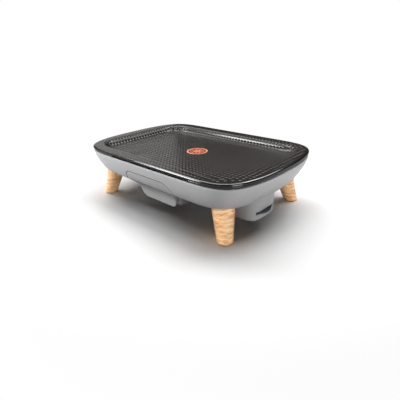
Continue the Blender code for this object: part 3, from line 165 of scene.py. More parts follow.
# Legs, screws and heating element; the bore's radius is in millimetres
LEG_TOP = (182 * MM, 114 * MM)
LEG_FOOT = (201 * MM, 130.5 * MM)
LEG_TOP_RADIUS = 24.5 * MM
LEG_FOOT_RADIUS = 16.5 * MM
LEG_GAP = 0.6 * MM
LEG_ROUND = 2.2 * MM
PAD_SEAT_RADIUS = 11.3 * MM
SCREW_HEAD = 3.4 * MM
SCREW_SHANK = 1.6 * MM
SCREW_DOME = 1.75 * MM
CROSS_DEPTH = 0.9 * MM
STUD_BORE = 4.3
ELEMENT_RADIUS = 3.3 * MM

# Camera, found from the photograph's outline and feet
CAMERA_PLACE = (0.5457, -0.5595, 0.3511)
CAMERA_YAW = -0.7628
CAMERA_PITCH = 0.4387
CAMERA_ROLL = -0.0332
CAMERA_LENS = 29.18

# Stage: the floor's tone in the light that it throws back, its size, and where the lamps point
WHITE = (1.0, 1.0, 1.0, 1.0)
FLOOR_LIT = (0.55, 0.55, 0.55, 1.0)
FLOOR_HALF = 6.0
LAMP_AIM = (0.0, 0.0, 0.1)


# Settings

def tint(name, description, default):
    """A colour setting."""
    return FloatVectorProperty(name=name, description=description, subtype="COLOR", size=3,
                               min=0.0, max=1.0, default=default)


def size(name, description, default, least=0.0):
    """A length setting."""
    return FloatProperty(name=name, description=description, unit="LENGTH", default=default,
                         min=least)


def power(name, description, default):
    """A lamp's power."""
    return FloatProperty(name=name, description=description, unit="POWER", default=default,
                         min=0.0)


class PlateSettings(bpy.types.PropertyGroup):
    """Sizes and colours of the griddle plate."""
    coat: tint("Coat", "Colour of the non-stick coat", (0.018, 0.0155, 0.013))
    dimple_spacing: size("Dimple spacing", "Distance between dimples", 10 * MM, MM)
    dimple_radius: size("Dimple radius", "Radius of one dimple", 4.3 * MM, 0.1 * MM)
    dimple_depth: size("Dimple depth", "Depth of one dimple", 1.35 * MM)
    spot: tint("Heat spot", "Colour of the heat spot's ground", (0.47, 0.12, 0.055))
    spot_marks: tint("Heat spot marks", "Colour of the heat spot's pale marks", (0.62, 0.25, 0.16))
    spot_radius: size("Heat spot radius", "Radius of the heat spot", 28.5 * MM, MM)


class BaseSettings(bpy.types.PropertyGroup):
    """Colours of the base, the control housing and the juice tray."""
    shell: tint("Shell", "Colour of the moulded grey plastic", (0.46, 0.46, 0.467))
    bezel: tint("Ring", "Colour of the plate's support ring", (0.012, 0.012, 0.013))
    # this colour also paints the shade on the front seam's cut faces
    dial: tint("Dial", "Colour of the dial and inner plastic", (0.020, 0.020, 0.022))
    dial_teeth: IntProperty(name="Dial teeth", description="Number of grip teeth round the dial",
                            default=40, min=8)


class LegSettings(bpy.types.PropertyGroup):
    """Colours of the wooden legs."""
    pale: tint("Pale wood", "Colour between the growth rings", (1.0, 0.68, 0.36))
    dark: tint("Dark wood", "Colour of rings and flecks", (0.57, 0.185, 0.040))


class StageSettings(bpy.types.PropertyGroup):
    """Light and floor."""
    ambient: FloatProperty(name="Ambient light", description="Strength of the even surroundings",
                           default=0.02, min=0.0)
    overhead: power("Overhead box", "Power of the overhead soft box", 8.8)
    edge: power("Edge box", "Power of the soft box behind the right end", 7.4)
    roll: power("Roll strip", "Power of the strip that draws the line along the front edge", 2.6)
    corner: power("Corner box", "Power of the small box that lights up the right corner", 4.0)
    leg: power("Leg box", "Power of the box that only lights the legs", 3.4)
    overhead_left: power("Overhead left box", "Power of the soft box over the left end", 10.7)
    overhead_front: power("Overhead front box", "Power of the soft box over the front", 3.0)
    front: power("Front box", "Power of the soft box at the front left", 17.0)
    right: power("Right box", "Power of the soft box at the right", 7.2)
    left: power("Left box", "Power of the low soft box at the far left", 1.4)
    floor_fade: FloatVectorProperty(name="Floor fade", description="Distances where the floor starts "
                                    "to pass into white, and is white", unit="LENGTH", size=2,
                                    default=(0.38, 0.75), min=0.0)


# Surfaces

def even_outline(half_x, half_y, power_x, power_y, count=384, centre=(0.0, 0.0)):
    """Even steps along |x/a|**p + |y/b|**q = 1, anticlockwise from +X.

    A quarter is worked out from y up to where both shares are a half, and from x beyond that.
    Its running length is then divided evenly, and mirrored into the other quarters.
    """
    share = np.linspace(0.0, 1.0, 3000)
    y_low = share * 0.5 ** (1 / power_y)
    x_low = (1 - y_low ** power_y) ** (1 / power_x)
    x_high = (1 - share[1:]) * 0.5 ** (1 / power_x)
    y_high = (1 - x_high ** power_x) ** (1 / power_y)
    x = np.r_[x_low, x_high] * half_x
    y = np.r_[y_low, y_high] * half_y
    run = np.r_[0.0, np.cumsum(np.hypot(np.diff(x), np.diff(y)))]
    steps = np.linspace(0.0, run[-1], count // 4 + 1)
    first = np.stack([np.interp(steps, run, x), np.interp(steps, run, y)], axis=1)
    second = first[:0:-1] * (-1, 1)
    first = first[:-1]
    return np.r_[first, second, -first, -second] + np.array(centre)


def body_outline(inset_x, inset_y=None):
    """The outline of plate, ring and shell, drawn in from the plate's edge."""
    inset_y = inset_x if inset_y is None else inset_y
    return even_outline(HALF_LENGTH - inset_x, HALF_WIDTH - inset_y, END_POWER, SIDE_POWER)


def circle(radius, count, centre=(0.0, 0.0)):
    """Points on a circle, anticlockwise from +X."""
    turn = np.linspace(0.0, 2 * pi, count, endpoint=False)
    return np.stack([centre[0] + radius * np.cos(turn), centre[1] + radius * np.sin(turn)], axis=1)


def at_height(outline, height):
    """Give the points of an outline their height, which is a number or one for each point."""
    outline = np.asarray(outline, float)
    return np.concatenate([outline, np.broadcast_to(height, len(outline))[:, None]], axis=1)


def rounding(outline, inset, height, radius, count, start=pi / 2, end=0.0, rise=1):
    """Rows that round an edge over a quarter turn.

    The inset grows by radius * (1 - cos), and the height moves by radius * (1 - sin), up or
    down as rise says.
    """
    return [at_height(outline(inset + radius * (1 - cos(turn))), height + rise * radius * (1 - sin(turn)))
            for turn in np.linspace(start, end, count)]


def carried(outline, profile):
    """Rows of an outline carried along (inset, height) pairs, in millimetres."""
    return [at_height(outline(inset * MM), height * MM) for inset, height in profile]


def between(first, last, count):
    """Rows that pass evenly from one row to another, without the first."""
    return [first + (last - first) * share for share in np.linspace(0.0, 1.0, count + 1)[1:]]


def skin(name, rows, looped=False):
    """Mesh of a grid of points, rows by columns, whose columns run round.

    Each face joins two neighbours of a row with the two above them. looped joins the last row
    with the first, as round a hollow wall. Otherwise the first and last rows are closed.
    """
    rows = np.asarray(rows, float)
    count, around = rows.shape[:2]
    index = np.arange(count * around).reshape(count, around)
    lower = index if looped else index[:-1]
    upper = np.roll(index, -1, axis=0) if looped else index[1:]
    quads = np.stack([lower, np.roll(lower, -1, axis=1), np.roll(upper, -1, axis=1), upper], axis=-1)
    faces = quads.reshape(-1, 4).tolist()
    if not looped:
        faces += [index[0, ::-1].tolist(), index[-1].tolist()]
    mesh = bpy.data.meshes.new(name)
    mesh.from_pydata(rows.reshape(-1, 3).tolist(), [], faces)
    mesh.update()
    item = bpy.data.objects.new(name, mesh)
    bpy.context.scene.collection.objects.link(item)
    return item


def lathe(name, profile, centre, count):
    """Turn (radius, height) pairs, in millimetres, round an upright axis from the lower end up."""
    ring = circle(1.0, count)
    return skin(name, [at_height(ring * (radius * MM) + np.array(centre), height * MM)
                       for radius, height in profile])


def tube(name, path, radius, count):
    """Carry a circle along a path of points.

    Each point's direction is the difference of its neighbours. The circle's two axes are that
    direction crossed with the path's first side, turned into step from one point to the next.
    """
    path = np.asarray(path, float)
    along = np.gradient(path, axis=0)
    along /= np.linalg.norm(along, axis=1)[:, None]
    side = np.cross(along[0], (0.0, 1.0, 0.0))
    sides = []
    for direction in along:
        side = side - direction * side.dot(direction)
        side = side / np.linalg.norm(side)
        sides.append(side)
    sides = np.array(sides)
    other = np.cross(along, sides)
    turn = np.linspace(0.0, 2 * pi, count, endpoint=False)
    return skin(name, path[:, None] + radius * (np.cos(turn)[None, :, None] * sides[:, None]
                                                + np.sin(turn)[None, :, None] * other[:, None]))


def rounded_loop(half, near, far, corner, side_count, corner_count, end_count):
    """Rounded rectangle from (-half, near) to (half, far), anticlockwise from the near left.

    Each side and each corner always has the same number of points, so loops of unlike sizes
    skin cleanly.
    """
    share = np.linspace(0.0, 1.0, side_count)
    ends = np.linspace(0.0, 1.0, end_count)
    bend = np.linspace(0.0, pi / 2, corner_count + 2)[1:-1]
    out, across = corner * np.sin(bend), corner * np.cos(bend)
    low_x, high_x = -half + corner, half - corner
    low_y, high_y = near + corner, far - corner
    parts = [
        (low_x + (high_x - low_x) * share, np.full(side_count, near)),
        (high_x + out, low_y - across),
        (np.full(end_count, half), low_y + (high_y - low_y) * ends),
        (high_x + across, high_y + out),
        (high_x + (low_x - high_x) * share, np.full(side_count, far)),
        (low_x - out, high_y + across),
        (np.full(end_count, -half), high_y + (low_y - high_y) * ends),
        (low_x - across, low_y - out),
    ]
    return np.concatenate([np.stack(part, axis=1) for part in parts])


def shell_taper(height):
    """Share of the shell's draw-in at a height.

    With q the share of the way down from the lip, the share is 1 - (1 - q**n)**(1/n).
    """
    down = np.clip((LIP_HEIGHT - np.asarray(height)) / CURVE_HEIGHT, 0.0, 1.0)
    return 1 - (1 - down ** SHELL_CURVE) ** (1 / SHELL_CURVE)


def shell_halves(height):
    """Half length and half width of the shell's outer shape at a height."""
    taper = shell_taper(height)
    return (HALF_LENGTH - SHELL_INSET - SHELL_END_TAPER * taper,
            HALF_WIDTH - SHELL_INSET - SHELL_SIDE_TAPER * taper)


def beyond_shell(points, grow):
    """How far points lie outside the shell's outer shape grown by grow: negative is inside."""
    a, b = shell_halves(points[..., 2])
    beyond = ((np.abs(points[..., 0]) / (a + grow)) ** END_POWER
              + (np.abs(points[..., 1]) / (b + grow)) ** SIDE_POWER - 1)
    return np.where(points[..., 2] < SHELL_BOTTOM - grow, 1.0, beyond)


def meet_shell(low, high):
    """Points where the lines from low to high enter the shell's shape, found by halving."""
    start, end = np.zeros(len(low)), np.ones(len(low))
    for _ in range(40):
        middle = (start + end) / 2
        outside = beyond_shell(low + (high - low) * middle[:, None], SEAT_GAP) > 0
        start = np.where(outside, middle, start)
        end = np.where(outside, end, middle)
    return low + (high - low) * start[:, None]


def pushed(rows, distance):
    """A grid of points moved along its normals, which come from the differences of neighbours."""
    around = np.roll(rows, -1, axis=1) - np.roll(rows, 1, axis=1)
    normal = np.cross(around, np.gradient(rows, axis=0))
    normal /= np.maximum(np.linalg.norm(normal, axis=2), 1e-12)[..., None]
    return rows + normal * distance


# Work on finished meshes

def merged(item):
    """Merge doubled points and turn all faces outwards."""
    bm = bmesh.new()
    bm.from_mesh(item.data)
    bmesh.ops.remove_doubles(bm, verts=bm.verts, dist=0.002 * MM)
    bmesh.ops.recalc_face_normals(bm, faces=bm.faces)
    bm.to_mesh(item.data)
    bm.free()
    return item


def combine(item, others, operation="DIFFERENCE"):
    """Cut away, join or keep other shapes, then apply the modifiers and remove the shapes."""
    for other in others:
        change = item.modifiers.new(other.name, "BOOLEAN")
        change.operation = operation
        change.solver = "EXACT"
        change.object = other
    mesh = bpy.data.meshes.new_from_object(item.evaluated_get(bpy.context.evaluated_depsgraph_get()))
    item.modifiers.clear()
    item.data = mesh
    mesh.name = item.name
    for other in others:
        bpy.data.objects.remove(other)
    return item


def block(name, low, high, corner=0.01):
    """Box between two corners in millimetres, with its upright edges rounded by corner."""
    low, high, corner = np.array(low) * MM, np.array(high) * MM, corner * MM
    centre, half = (low + high) / 2, (high - low) / 2
    loop = rounded_loop(half[0], -half[1], half[1], corner, 2, 6 if corner > MM else 1, 2) + centre[:2]
    return merged(skin(name, [at_height(loop, low[2]), at_height(loop, high[2])]))


def slab(name, x, z, start, end):
    """Slab from y start to y end, in an outline given by its x and z."""
    return merged(skin(name, [np.stack([x, np.full(len(x), y), z], axis=1) for y in (start, end)]))


def face_values(item, name):
    """A vector of each face, such as its middle or its normal."""
    values = np.empty(len(item.data.polygons) * 3, np.float32)
    item.data.polygons.foreach_get(name, values)
    return values.reshape(-1, 3)


def mark_faces(item, numbers):
    """Give each face the material of its number."""
    item.data.polygons.foreach_set("material_index", numbers.astype(np.int32))


def store_places(item, name, places):
    """Keep a place for each point of a piece, for its material to read."""
    store = item.data.attributes.new(name, "FLOAT_VECTOR", "POINT")
    store.data.foreach_set("vector", places.reshape(-1))


def finished(item, body, material, replaces=(), crease=0.55):
    """Smooth a piece, give it its finish and let it ride on its body."""
    item.data.materials.clear()
    for one in (material if isinstance(material, (list, tuple)) else [material]):
        item.data.materials.append(one)
    item.data.shade_smooth()
    item.data.set_sharp_from_angle(angle=crease)
    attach(item, body)
    if replaces:
        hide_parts(*replaces)
    return item


# Node groups and finishes

def node(tree, kind, inputs=None, **settings):
    """Add a shader node, set it, and fill its inputs with values or links."""
    item = tree.nodes.new("ShaderNode" + kind)
    for key, value in settings.items():
        setattr(item, key, value)
    for socket, value in (inputs or {}).items():
        if isinstance(value, bpy.types.NodeSocket):
            tree.links.new(value, item.inputs[socket])
        else:
            item.inputs[socket].default_value = value
    return item


def maths(tree, operation, *values):
    """Add a Math node and return its output."""
    return node(tree, "Math", dict(enumerate(values)), operation=operation).outputs[0]


def weighted(tree, *terms):
    """Sum of values, each times its weight."""
    total = maths(tree, "MULTIPLY", *terms[0])
    for value, weight in terms[1:]:
        total = maths(tree, "ADD", total, maths(tree, "MULTIPLY", value, weight))
    return total


def vector_maths(tree, operation, *values):
    """Add a Vector Math node and return its output."""
    item = node(tree, "VectorMath", dict(enumerate(values)), operation=operation)
    return item.outputs["Value" if operation == "LENGTH" else "Vector"]


def mapped(tree, value, low, high, to_low=0.0, to_high=1.0, smooth=True):
    """Map a value from one range to another, clamped."""
    return node(tree, "MapRange", {"Value": value, "From Min": low, "From Max": high,
                                             "To Min": to_low, "To Max": to_high},
                interpolation_type="SMOOTHSTEP" if smooth else "LINEAR").outputs["Result"]


def spread_over(tree, share, low, high):
    """Spread a share from 0 to 1 evenly over a range."""
    return mapped(tree, share, 0.0, 1.0, low, high, False)


def blended(tree, share, first, second):
    """Mix two colours and return the colour output."""
    return node(tree, "Mix", {0: share, 6: first, 7: second}, data_type="RGBA").outputs[2]


def noise(tree, place, scale, detail=2.0, roughness=0.5):
    """Noise at a place, as a value."""
    return node(tree, "TexNoise", {"Vector": place, "Scale": scale, "Detail": detail,
                                             "Roughness": roughness}).outputs["Fac"]


def stored(tree, name):
    """The places that a piece keeps for its material."""
    return node(tree, "Attribute", attribute_name=name).outputs["Vector"]


def new_group(name, inputs, make):
    """Shader node group with named inputs. make(tree, given) returns its outputs by name."""
    tree = bpy.data.node_groups.new(name, "ShaderNodeTree")
    for label, value in inputs.items():
        kind = "NodeSocketFloat" if isinstance(value, float) else "NodeSocketVector"
        socket = tree.interface.new_socket(name=label, in_out="INPUT", socket_type=kind)
        if value is not None:
            socket.default_value = value
    results = make(tree, tree.nodes.new("NodeGroupInput").outputs)
    for label in results:
        tree.interface.new_socket(name=label, in_out="OUTPUT", socket_type="NodeSocketFloat")
    end = tree.nodes.new("NodeGroupOutput")
    for label, value in results.items():
        tree.links.new(value, end.inputs[label])
    return tree


def grouped(tree, group, **inputs):
    """Place a node group in a material and return its outputs."""
    return node(tree, "Group", {label.replace("_", " "): value for label, value in inputs.items()},
                node_tree=group).outputs


@cache
def dimple_group():
    """Round dimples in a square grid: the depth falls smoothly with the distance to a cell's middle."""
    def make(tree, given):
        flat = vector_maths(tree, "MULTIPLY", given["Vector"], (1, 1, 0))
        cell = node(tree, "CombineXYZ", {"X": given["Spacing"], "Y": given["Spacing"],
                                                   "Z": 1.0}).outputs[0]
        part = vector_maths(tree, "FRACTION", vector_maths(tree, "DIVIDE", flat, cell))
        centred = vector_maths(tree, "SUBTRACT", part, (0.5, 0.5, 0.0))
        away = vector_maths(tree, "LENGTH", vector_maths(tree, "MULTIPLY", centred, cell))
        return {"Depth": mapped(tree, away, given["Radius"], 0.0)}

    return new_group("Plate dimples", {"Vector": None, "Spacing": 10 * MM, "Radius": 4.3 * MM}, make)


@cache
def grain_group():
    """Fine moulded or cast grain: two sizes of noise for height, and a broad one for tone."""
    def make(tree, given):
        fine = noise(tree, given["Vector"], maths(tree, "DIVIDE", 1.0, given["Grain size"]), 2.0, 0.6)
        broad = noise(tree, given["Vector"], maths(tree, "DIVIDE", 1.0, given["Patch size"]), 3.0, 0.55)
        return {"Height": fine, "Patches": mapped(tree, broad, 0.3, 0.7)}

    return new_group("Fine grain", {"Vector": None, "Grain size": 0.6 * MM, "Patch size": 30 * MM}, make)


@cache
def brushed_group():
    """Brushed or drawn metal: noise stretched along one axis, with a broad unevenness."""
    def make(tree, given):
        fine = noise(tree, vector_maths(tree, "MULTIPLY", given["Vector"], given["Stretch"]), 90.0,
                     3.0, 0.65)
        broad = noise(tree, given["Vector"], 40.0)
        streaks = weighted(tree, (fine, 0.6), (broad, 0.4))
        return {"Height": fine, "Streaks": mapped(tree, streaks, 0.3, 0.7)}

    return new_group("Brushed metal", {"Vector": None, "Stretch": (1.0, 30.0, 30.0)}, make)


@cache
def wood_group():
    """Turned beech: growth rings that cross the leg, long fibres, mottling and short ray flecks.

    The rings are a wave of the distance from a pith that lies across the leg some way above it,
    bent by slow noise. Fibres are noise stretched along the leg and mottling is noise stretched
    across it. Flecks are stretched cells kept where they are smallest.
    """
    def make(tree, given):
        def pulled(stretch):
            return vector_maths(tree, "MULTIPLY", given["Vector"], stretch)

        slow = noise(tree, pulled((1, 1, 0.8)), 40.0, 3.0, 0.6)
        fibres = noise(tree, pulled((40, 40, 1)), 40.0, 4.0, 0.6)
        mottle = mapped(tree, noise(tree, pulled((1, 1, 3.2)), 38.0, 3.0, 0.6), 0.42, 0.62)
        leant = node(tree, "Mapping", {"Vector": given["Vector"], "Location": (0.0, 0.02, -0.11),
                                                 "Rotation": (0.0, 0.25, 0.6),
                                                 "Scale": (0.12, 0.5, 1.0)}).outputs[0]
        bent = weighted(tree, (vector_maths(tree, "LENGTH", leant), 1.0), (slow, 0.022))
        ring = maths(tree, "FRACT", maths(tree, "DIVIDE", bent, given["Ring width"]))
        late = maths(tree, "MULTIPLY", maths(tree, "POWER", ring, 2.0), mapped(tree, ring, 1.0, 0.9))
        cells = node(tree, "TexVoronoi", {"Vector": pulled((12, 12, 2.6)), "Scale": 55.0,
                                                    "Randomness": 1.0}, feature="F1")
        figure = weighted(tree, (late, 0.55), (mottle, 0.42), (mapped(tree, fibres, 0.3, 0.75), 0.16))
        return {"Figure": figure, "Flecks": mapped(tree, cells.outputs["Distance"], 0.20, 0.10),
                "Height": fibres}

    return new_group("Turned wood", {"Vector": None, "Ring width": 4.2 * MM}, make)


def new_finish(name, colour, roughness, metallic=0.0, **sockets):
    """Material with its shader's plain values. Returns the material, its tree and the place."""
    material = bpy.data.materials.new(name)
    material.use_nodes = True
    tree = material.node_tree
    shader = tree.nodes["Principled BSDF"]
    sockets.update(Base_Color=(*colour[:3], 1.0), Roughness=roughness, Metallic=metallic)
    for label, value in sockets.items():
        shader.inputs[label.replace("_", " ")].default_value = value
    return material, tree, node(tree, "TexCoord").outputs["Object"]


def dress(material, tone, sheen, height, relief, normals=("Normal",)):
    """Lead a tone, a roughness if any, and a height through a Bump node, to the shader."""
    tree = material.node_tree
    shader = tree.nodes["Principled BSDF"]
    tree.links.new(tone, shader.inputs["Base Color"])
    if sheen is not None:
        tree.links.new(sheen, shader.inputs["Roughness"])
    bump = node(tree, "Bump", {"Height": height, "Distance": relief, "Strength": 1.0})
    for normal in normals:
        tree.links.new(bump.outputs["Normal"], shader.inputs[normal])
    return material


def shade_of(colour, factor):
    """A colour made darker or lighter, with its alpha."""
    return tuple(min(1.0, channel * factor) for channel in colour[:3]) + (1.0,)


def moulded_finish(name, colour, roughness, grain=0.7 * MM, relief=0.02 * MM, spread=0.05,
                   patch=45 * MM, tones=(0.97, 1.03), **sockets):
    """Moulded plastic, rubber or a coat: fine grain, with soft patches of sheen and tone."""
    material, tree, place = new_finish(name, colour, roughness, **sockets)
    fine = grouped(tree, grain_group(), Vector=place, Grain_size=grain, Patch_size=patch)
    tone = blended(tree, fine["Patches"], *(shade_of(colour, factor) for factor in tones))
    sheen = spread_over(tree, fine["Patches"], roughness - spread, roughness + spread)
    return dress(material, tone, sheen, fine["Height"], relief)


def metal_finish(name, colour, roughness, stretch, metallic=1.0):
    """Drawn, rolled or turned metal with fine streaks along its working direction."""
    material, tree, place = new_finish(name, colour, roughness, metallic)
    drawn = grouped(tree, brushed_group(), Vector=place, Stretch=stretch)
    tone = blended(tree, drawn["Streaks"], shade_of(colour, 0.86), shade_of(colour, 1.08))
    sheen = spread_over(tree, drawn["Streaks"], roughness + 0.10, roughness - 0.06)
    return dress(material, tone, sheen, drawn["Height"], 0.01 * MM)


def heated_finish(name, colour):
    """Element sheath: dark steel with straw and blue heat tints in slow bands."""
    material, tree, place = new_finish(name, colour, 0.42, 0.85)
    drawn = grouped(tree, brushed_group(), Vector=place, Stretch=(3.0, 3.0, 3.0))
    heat = noise(tree, place, 14.0)
    warm = blended(tree, mapped(tree, heat, 0.42, 0.62), (*colour, 1.0), (0.24, 0.17, 0.11, 1.0))
    tone = blended(tree, mapped(tree, heat, 0.60, 0.72), warm, (0.13, 0.15, 0.21, 1.0))
    return dress(material, tone, spread_over(tree, drawn["Streaks"], 0.52, 0.36), drawn["Height"], 0.02 * MM)


def ceramic_finish(name, colour):
    """Unglazed ceramic: fine chalky grain with a few darker specks."""
    material, tree, place = new_finish(name, colour, 0.6)
    fine = grouped(tree, grain_group(), Vector=place, Grain_size=0.5 * MM, Patch_size=6 * MM)
    cells = node(tree, "TexVoronoi", {"Vector": place, "Scale": 700.0})
    speck = maths(tree, "MULTIPLY", mapped(tree, cells.outputs["Distance"], 0.16, 0.08), 0.35)
    tone = blended(tree, fine["Patches"], shade_of(colour, 0.92), shade_of(colour, 1.03))
    tone = blended(tree, speck, tone, (0.45, 0.40, 0.33, 1.0))
    return dress(material, tone, None, fine["Height"], 0.04 * MM)


def beech_finish(settings):
    """Lacquered beech for the legs. It reads each leg's own straightened place."""
    material, tree, _ = new_finish("lacquered_beech", settings.pale, 0.40, Coat_Weight=0.8,
                                   Coat_Roughness=0.22)
    wood = grouped(tree, wood_group(), Vector=stored(tree, "leg_place"), Ring_width=9 * MM)
    tone = blended(tree, wood["Figure"], (*settings.pale, 1.0), (*settings.dark, 1.0))
    tone = blended(tree, maths(tree, "MULTIPLY", wood["Flecks"], 0.3), tone,
                   shade_of(settings.dark, 0.72))
    return dress(material, tone, spread_over(tree, wood["Figure"], 0.30, 0.44), wood["Height"], 0.05 * MM)


def outline_share(tree, place, half_x, half_y, power_x, power_y):
    """Sum of powers |x/a|**p + |y/b|**q, which is 1 on an outline and less inside."""
    parts = node(tree, "SeparateXYZ", {0: place}).outputs
    x = maths(tree, "DIVIDE", maths(tree, "ABSOLUTE", parts["X"]), half_x)
    y = maths(tree, "DIVIDE", maths(tree, "ABSOLUTE", parts["Y"]), half_y)
    return maths(tree, "ADD", maths(tree, "POWER", x, power_x), maths(tree, "POWER", y, power_y))


def heat_spot(tree, place, settings, ground):
    """Printed heat spot: rings, a wreath of nine drops and a small ring round the middle.

    The drops come from the distance to a ring, widened and narrowed by the cosine of nine
    times the angle. They and the thin rings are printed in the dark edge colour.
    """
    flat = vector_maths(tree, "MULTIPLY", place, (1, 1, 0))
    centred = vector_maths(tree, "SUBTRACT", flat, (*SPOT, 0))
    away = maths(tree, "DIVIDE", vector_maths(tree, "LENGTH", centred), settings.spot_radius)
    parts = node(tree, "SeparateXYZ", {0: centred}).outputs
    angle = maths(tree, "ARCTAN2", parts["Y"], parts["X"])
    wave = maths(tree, "COSINE", maths(tree, "MULTIPLY", angle, 9.0))

    def band(low, high):
        return maths(tree, "MULTIPLY", mapped(tree, away, low - 0.015, low + 0.015),
                     mapped(tree, away, high + 0.015, high - 0.015))

    from_ring = maths(tree, "ABSOLUTE", maths(tree, "SUBTRACT", away, 0.47))
    width = maths(tree, "MULTIPLY_ADD", wave, 0.09, 0.05)
    drops = mapped(tree, maths(tree, "SUBTRACT", from_ring, width), 0.02, -0.02)
    marks = maths(tree, "MAXIMUM", band(0.78, 0.90), band(0.0, 0.24))
    lines = maths(tree, "MAXIMUM", maths(tree, "MAXIMUM", mapped(tree, away, 0.90, 0.93), drops),
                  maths(tree, "MAXIMUM", band(0.64, 0.76), band(0.10, 0.17)))
    ink = blended(tree, marks, (*settings.spot, 1.0), (*settings.spot_marks, 1.0))
    ink = blended(tree, lines, ink, shade_of(settings.spot, 0.12))
    return blended(tree, maths(tree, "MULTIPLY", mapped(tree, away, 1.0, 0.985), 0.96), ground, ink)


def plate_finish(settings, dimpled=True):
    """Non-stick coat with a faint metallic fleck, and on top the pressed dimples and the heat spot.

    Towards the middle of each dimple the tone is darkened and the clear top coat faded out: painted shade, so
    that the pits stay dark.
    """
    name = "nonstick_coat" if dimpled else "nonstick_coat_plain"
    material, tree, place = new_finish(name, settings.coat, 0.14, Specular_IOR_Level=0.24,
                                       Coat_Roughness=0.14, Coat_Weight=0.2)
    fine = grouped(tree, grain_group(), Vector=place, Grain_size=0.45 * MM, Patch_size=60 * MM)
    fleck = mapped(tree, fine["Height"], 0.60, 0.74)
    tone = blended(tree, fine["Patches"], shade_of(settings.coat, 0.9), shade_of(settings.coat, 1.1))
    tone = blended(tree, maths(tree, "MULTIPLY", fleck, 0.3), tone, shade_of(settings.coat, 2.0))
    height = maths(tree, "MULTIPLY", fine["Height"], 0.02)
    if dimpled:
        pits = grouped(tree, dimple_group(), Vector=stored(tree, "pressed_place"),
                       Spacing=settings.dimple_spacing, Radius=settings.dimple_radius)
        margin = outline_share(tree, place, HALF_LENGTH - 8 * MM, HALF_WIDTH - 8 * MM, END_POWER,
                               SIDE_POWER)
        depth = maths(tree, "MULTIPLY", pits["Depth"], mapped(tree, margin, 1.0, 0.96))
        height = maths(tree, "SUBTRACT", height, depth)
        # painted shade: the tone darkens towards each dimple's middle, and the heat spot's print gives way to
        # it there
        painted_pit_shade = mapped(tree, depth, 0.05, 0.55)
        tone = blended(tree, painted_pit_shade, tone, shade_of(settings.coat, 0.06))
        spot = heat_spot(tree, place, settings, tone)
        tone = blended(tree, maths(tree, "MULTIPLY", painted_pit_shade, 0.35), spot, tone)
        # painted shade: the top coat fades out in each dimple's middle, so that the pits reflect little
        tree.links.new(mapped(tree, depth, 0.05, 0.6, 0.3, 0.0, False),
                       tree.nodes["Principled BSDF"].inputs["Coat Weight"])
    return dress(material, tone, spread_over(tree, fine["Patches"], 0.12, 0.17), height,
                 settings.dimple_depth, ("Normal", "Coat Normal"))


def rolled_finish(settings):
    """Coat on the rolled edge: pulled smooth and glossy."""
    return moulded_finish("rolled_edge_coat", settings.coat, 0.16, 1.5 * MM, 0.006 * MM, 0.03, 50 * MM,
                          (0.25, 0.4), Coat_Weight=0.35, Coat_Roughness=0.07)


# Pieces

def make_plate(settings):
    """Griddle plate as one closed wall: down the top, through the drain, back up below.

    Rows run from the skirt over the roll, rim and well wall to the drain hole, down the spout
    and back along the underside. On the floor the rows pass evenly from the well's outline to
    the drain's circle. The underside of the wall is its profile moved by the sheet along the
    profile's normal, which is its tangent turned by a right angle. A second place for each
    point, moved outwards by what the sloping wall is longer than its plan, lets the dimples
    keep their size where the wall is steep.
    """
    def well(draw_in):
        return even_outline(WELL_HALF_LENGTH - draw_in, WELL_HALF_WIDTH - draw_in, WELL_POWER, WELL_POWER)

    def spoke(radius):
        return middle + direction * radius

    tangent = np.gradient(WELL_EDGE, axis=0)
    tangent /= np.linalg.norm(tangent, axis=1)[:, None]
    tangent[-1] = (1.0, 0.0)
    below = WELL_EDGE * MM + PLATE_SHEET * np.stack([tangent[:, 1], -tangent[:, 0]], axis=1)
    run = np.r_[0.0, np.cumsum(np.hypot(*np.diff(WELL_EDGE[::-1], axis=0).T))]
    excess = (run - (WELL_EDGE[-1, 0] - WELL_EDGE[::-1, 0]))[::-1] * MM
    rows = [at_height(body_outline(0.0), PLATE_SKIRT),
            *rounding(body_outline, 0.0, PLATE_TOP, PLATE_ROLL, 9, 0.0, pi / 2, -1)]
    rolled = len(rows) - 1
    pressed = [row[:, :2] * (1 + excess[0] / np.linalg.norm(row[:, :2], axis=1))[:, None] for row in rows]
    for (draw_in, drop), beyond in zip(WELL_EDGE * MM, excess):
        rows.append(at_height(well(draw_in), PLATE_TOP + drop))
        pressed.append(well(draw_in - beyond))
    foot = well(WELL_EDGE[-1, 0] * MM)
    middle = np.array(DRAIN)
    direction = foot - middle
    direction /= np.linalg.norm(direction, axis=1)[:, None]
    rows += [at_height(row, WELL_FLOOR) for row in between(foot, spoke(DRAIN_RADIUS + 0.6 * MM), 4)]
    rows += [at_height(spoke(DRAIN_RADIUS + 0.15 * MM), WELL_FLOOR - 0.2 * MM),
             at_height(spoke(DRAIN_RADIUS), WELL_FLOOR - 0.7 * MM)]
    top_count = len(rows)
    under = WELL_FLOOR - PLATE_SHEET
    rows += [at_height(spoke(DRAIN_RADIUS), SPOUT_BOTTOM), at_height(spoke(SPOUT_RADIUS), SPOUT_BOTTOM),
             at_height(spoke(SPOUT_RADIUS), under)]
    rows += [at_height(row, under) for row in between(spoke(SPOUT_RADIUS), foot, 4)]
    rows += [at_height(well(draw_in), PLATE_TOP + drop) for draw_in, drop in below[::-1]]
    rows += rounding(body_outline, PLATE_SHEET, PLATE_TOP - PLATE_SHEET, PLATE_ROLL - PLATE_SHEET, 5, rise=-1)
    rows.append(at_height(body_outline(PLATE_SHEET), PLATE_SKIRT))
    plate = skin("plate_pressing", rows, looped=True)
    store_places(plate, "pressed_place", np.concatenate([at_height(outline, 0.0) for outline in pressed]
                                                        + rows[len(pressed):]))
    row_of_face = np.arange(len(plate.data.polygons)) // len(foot)
    finished(plate, "plate",
             [plate_finish(settings), plate_finish(settings, dimpled=False), rolled_finish(settings)],
             ["griddle_plate"])
    mark_faces(plate, np.where(row_of_face < rolled, 2, row_of_face >= top_count - 1))


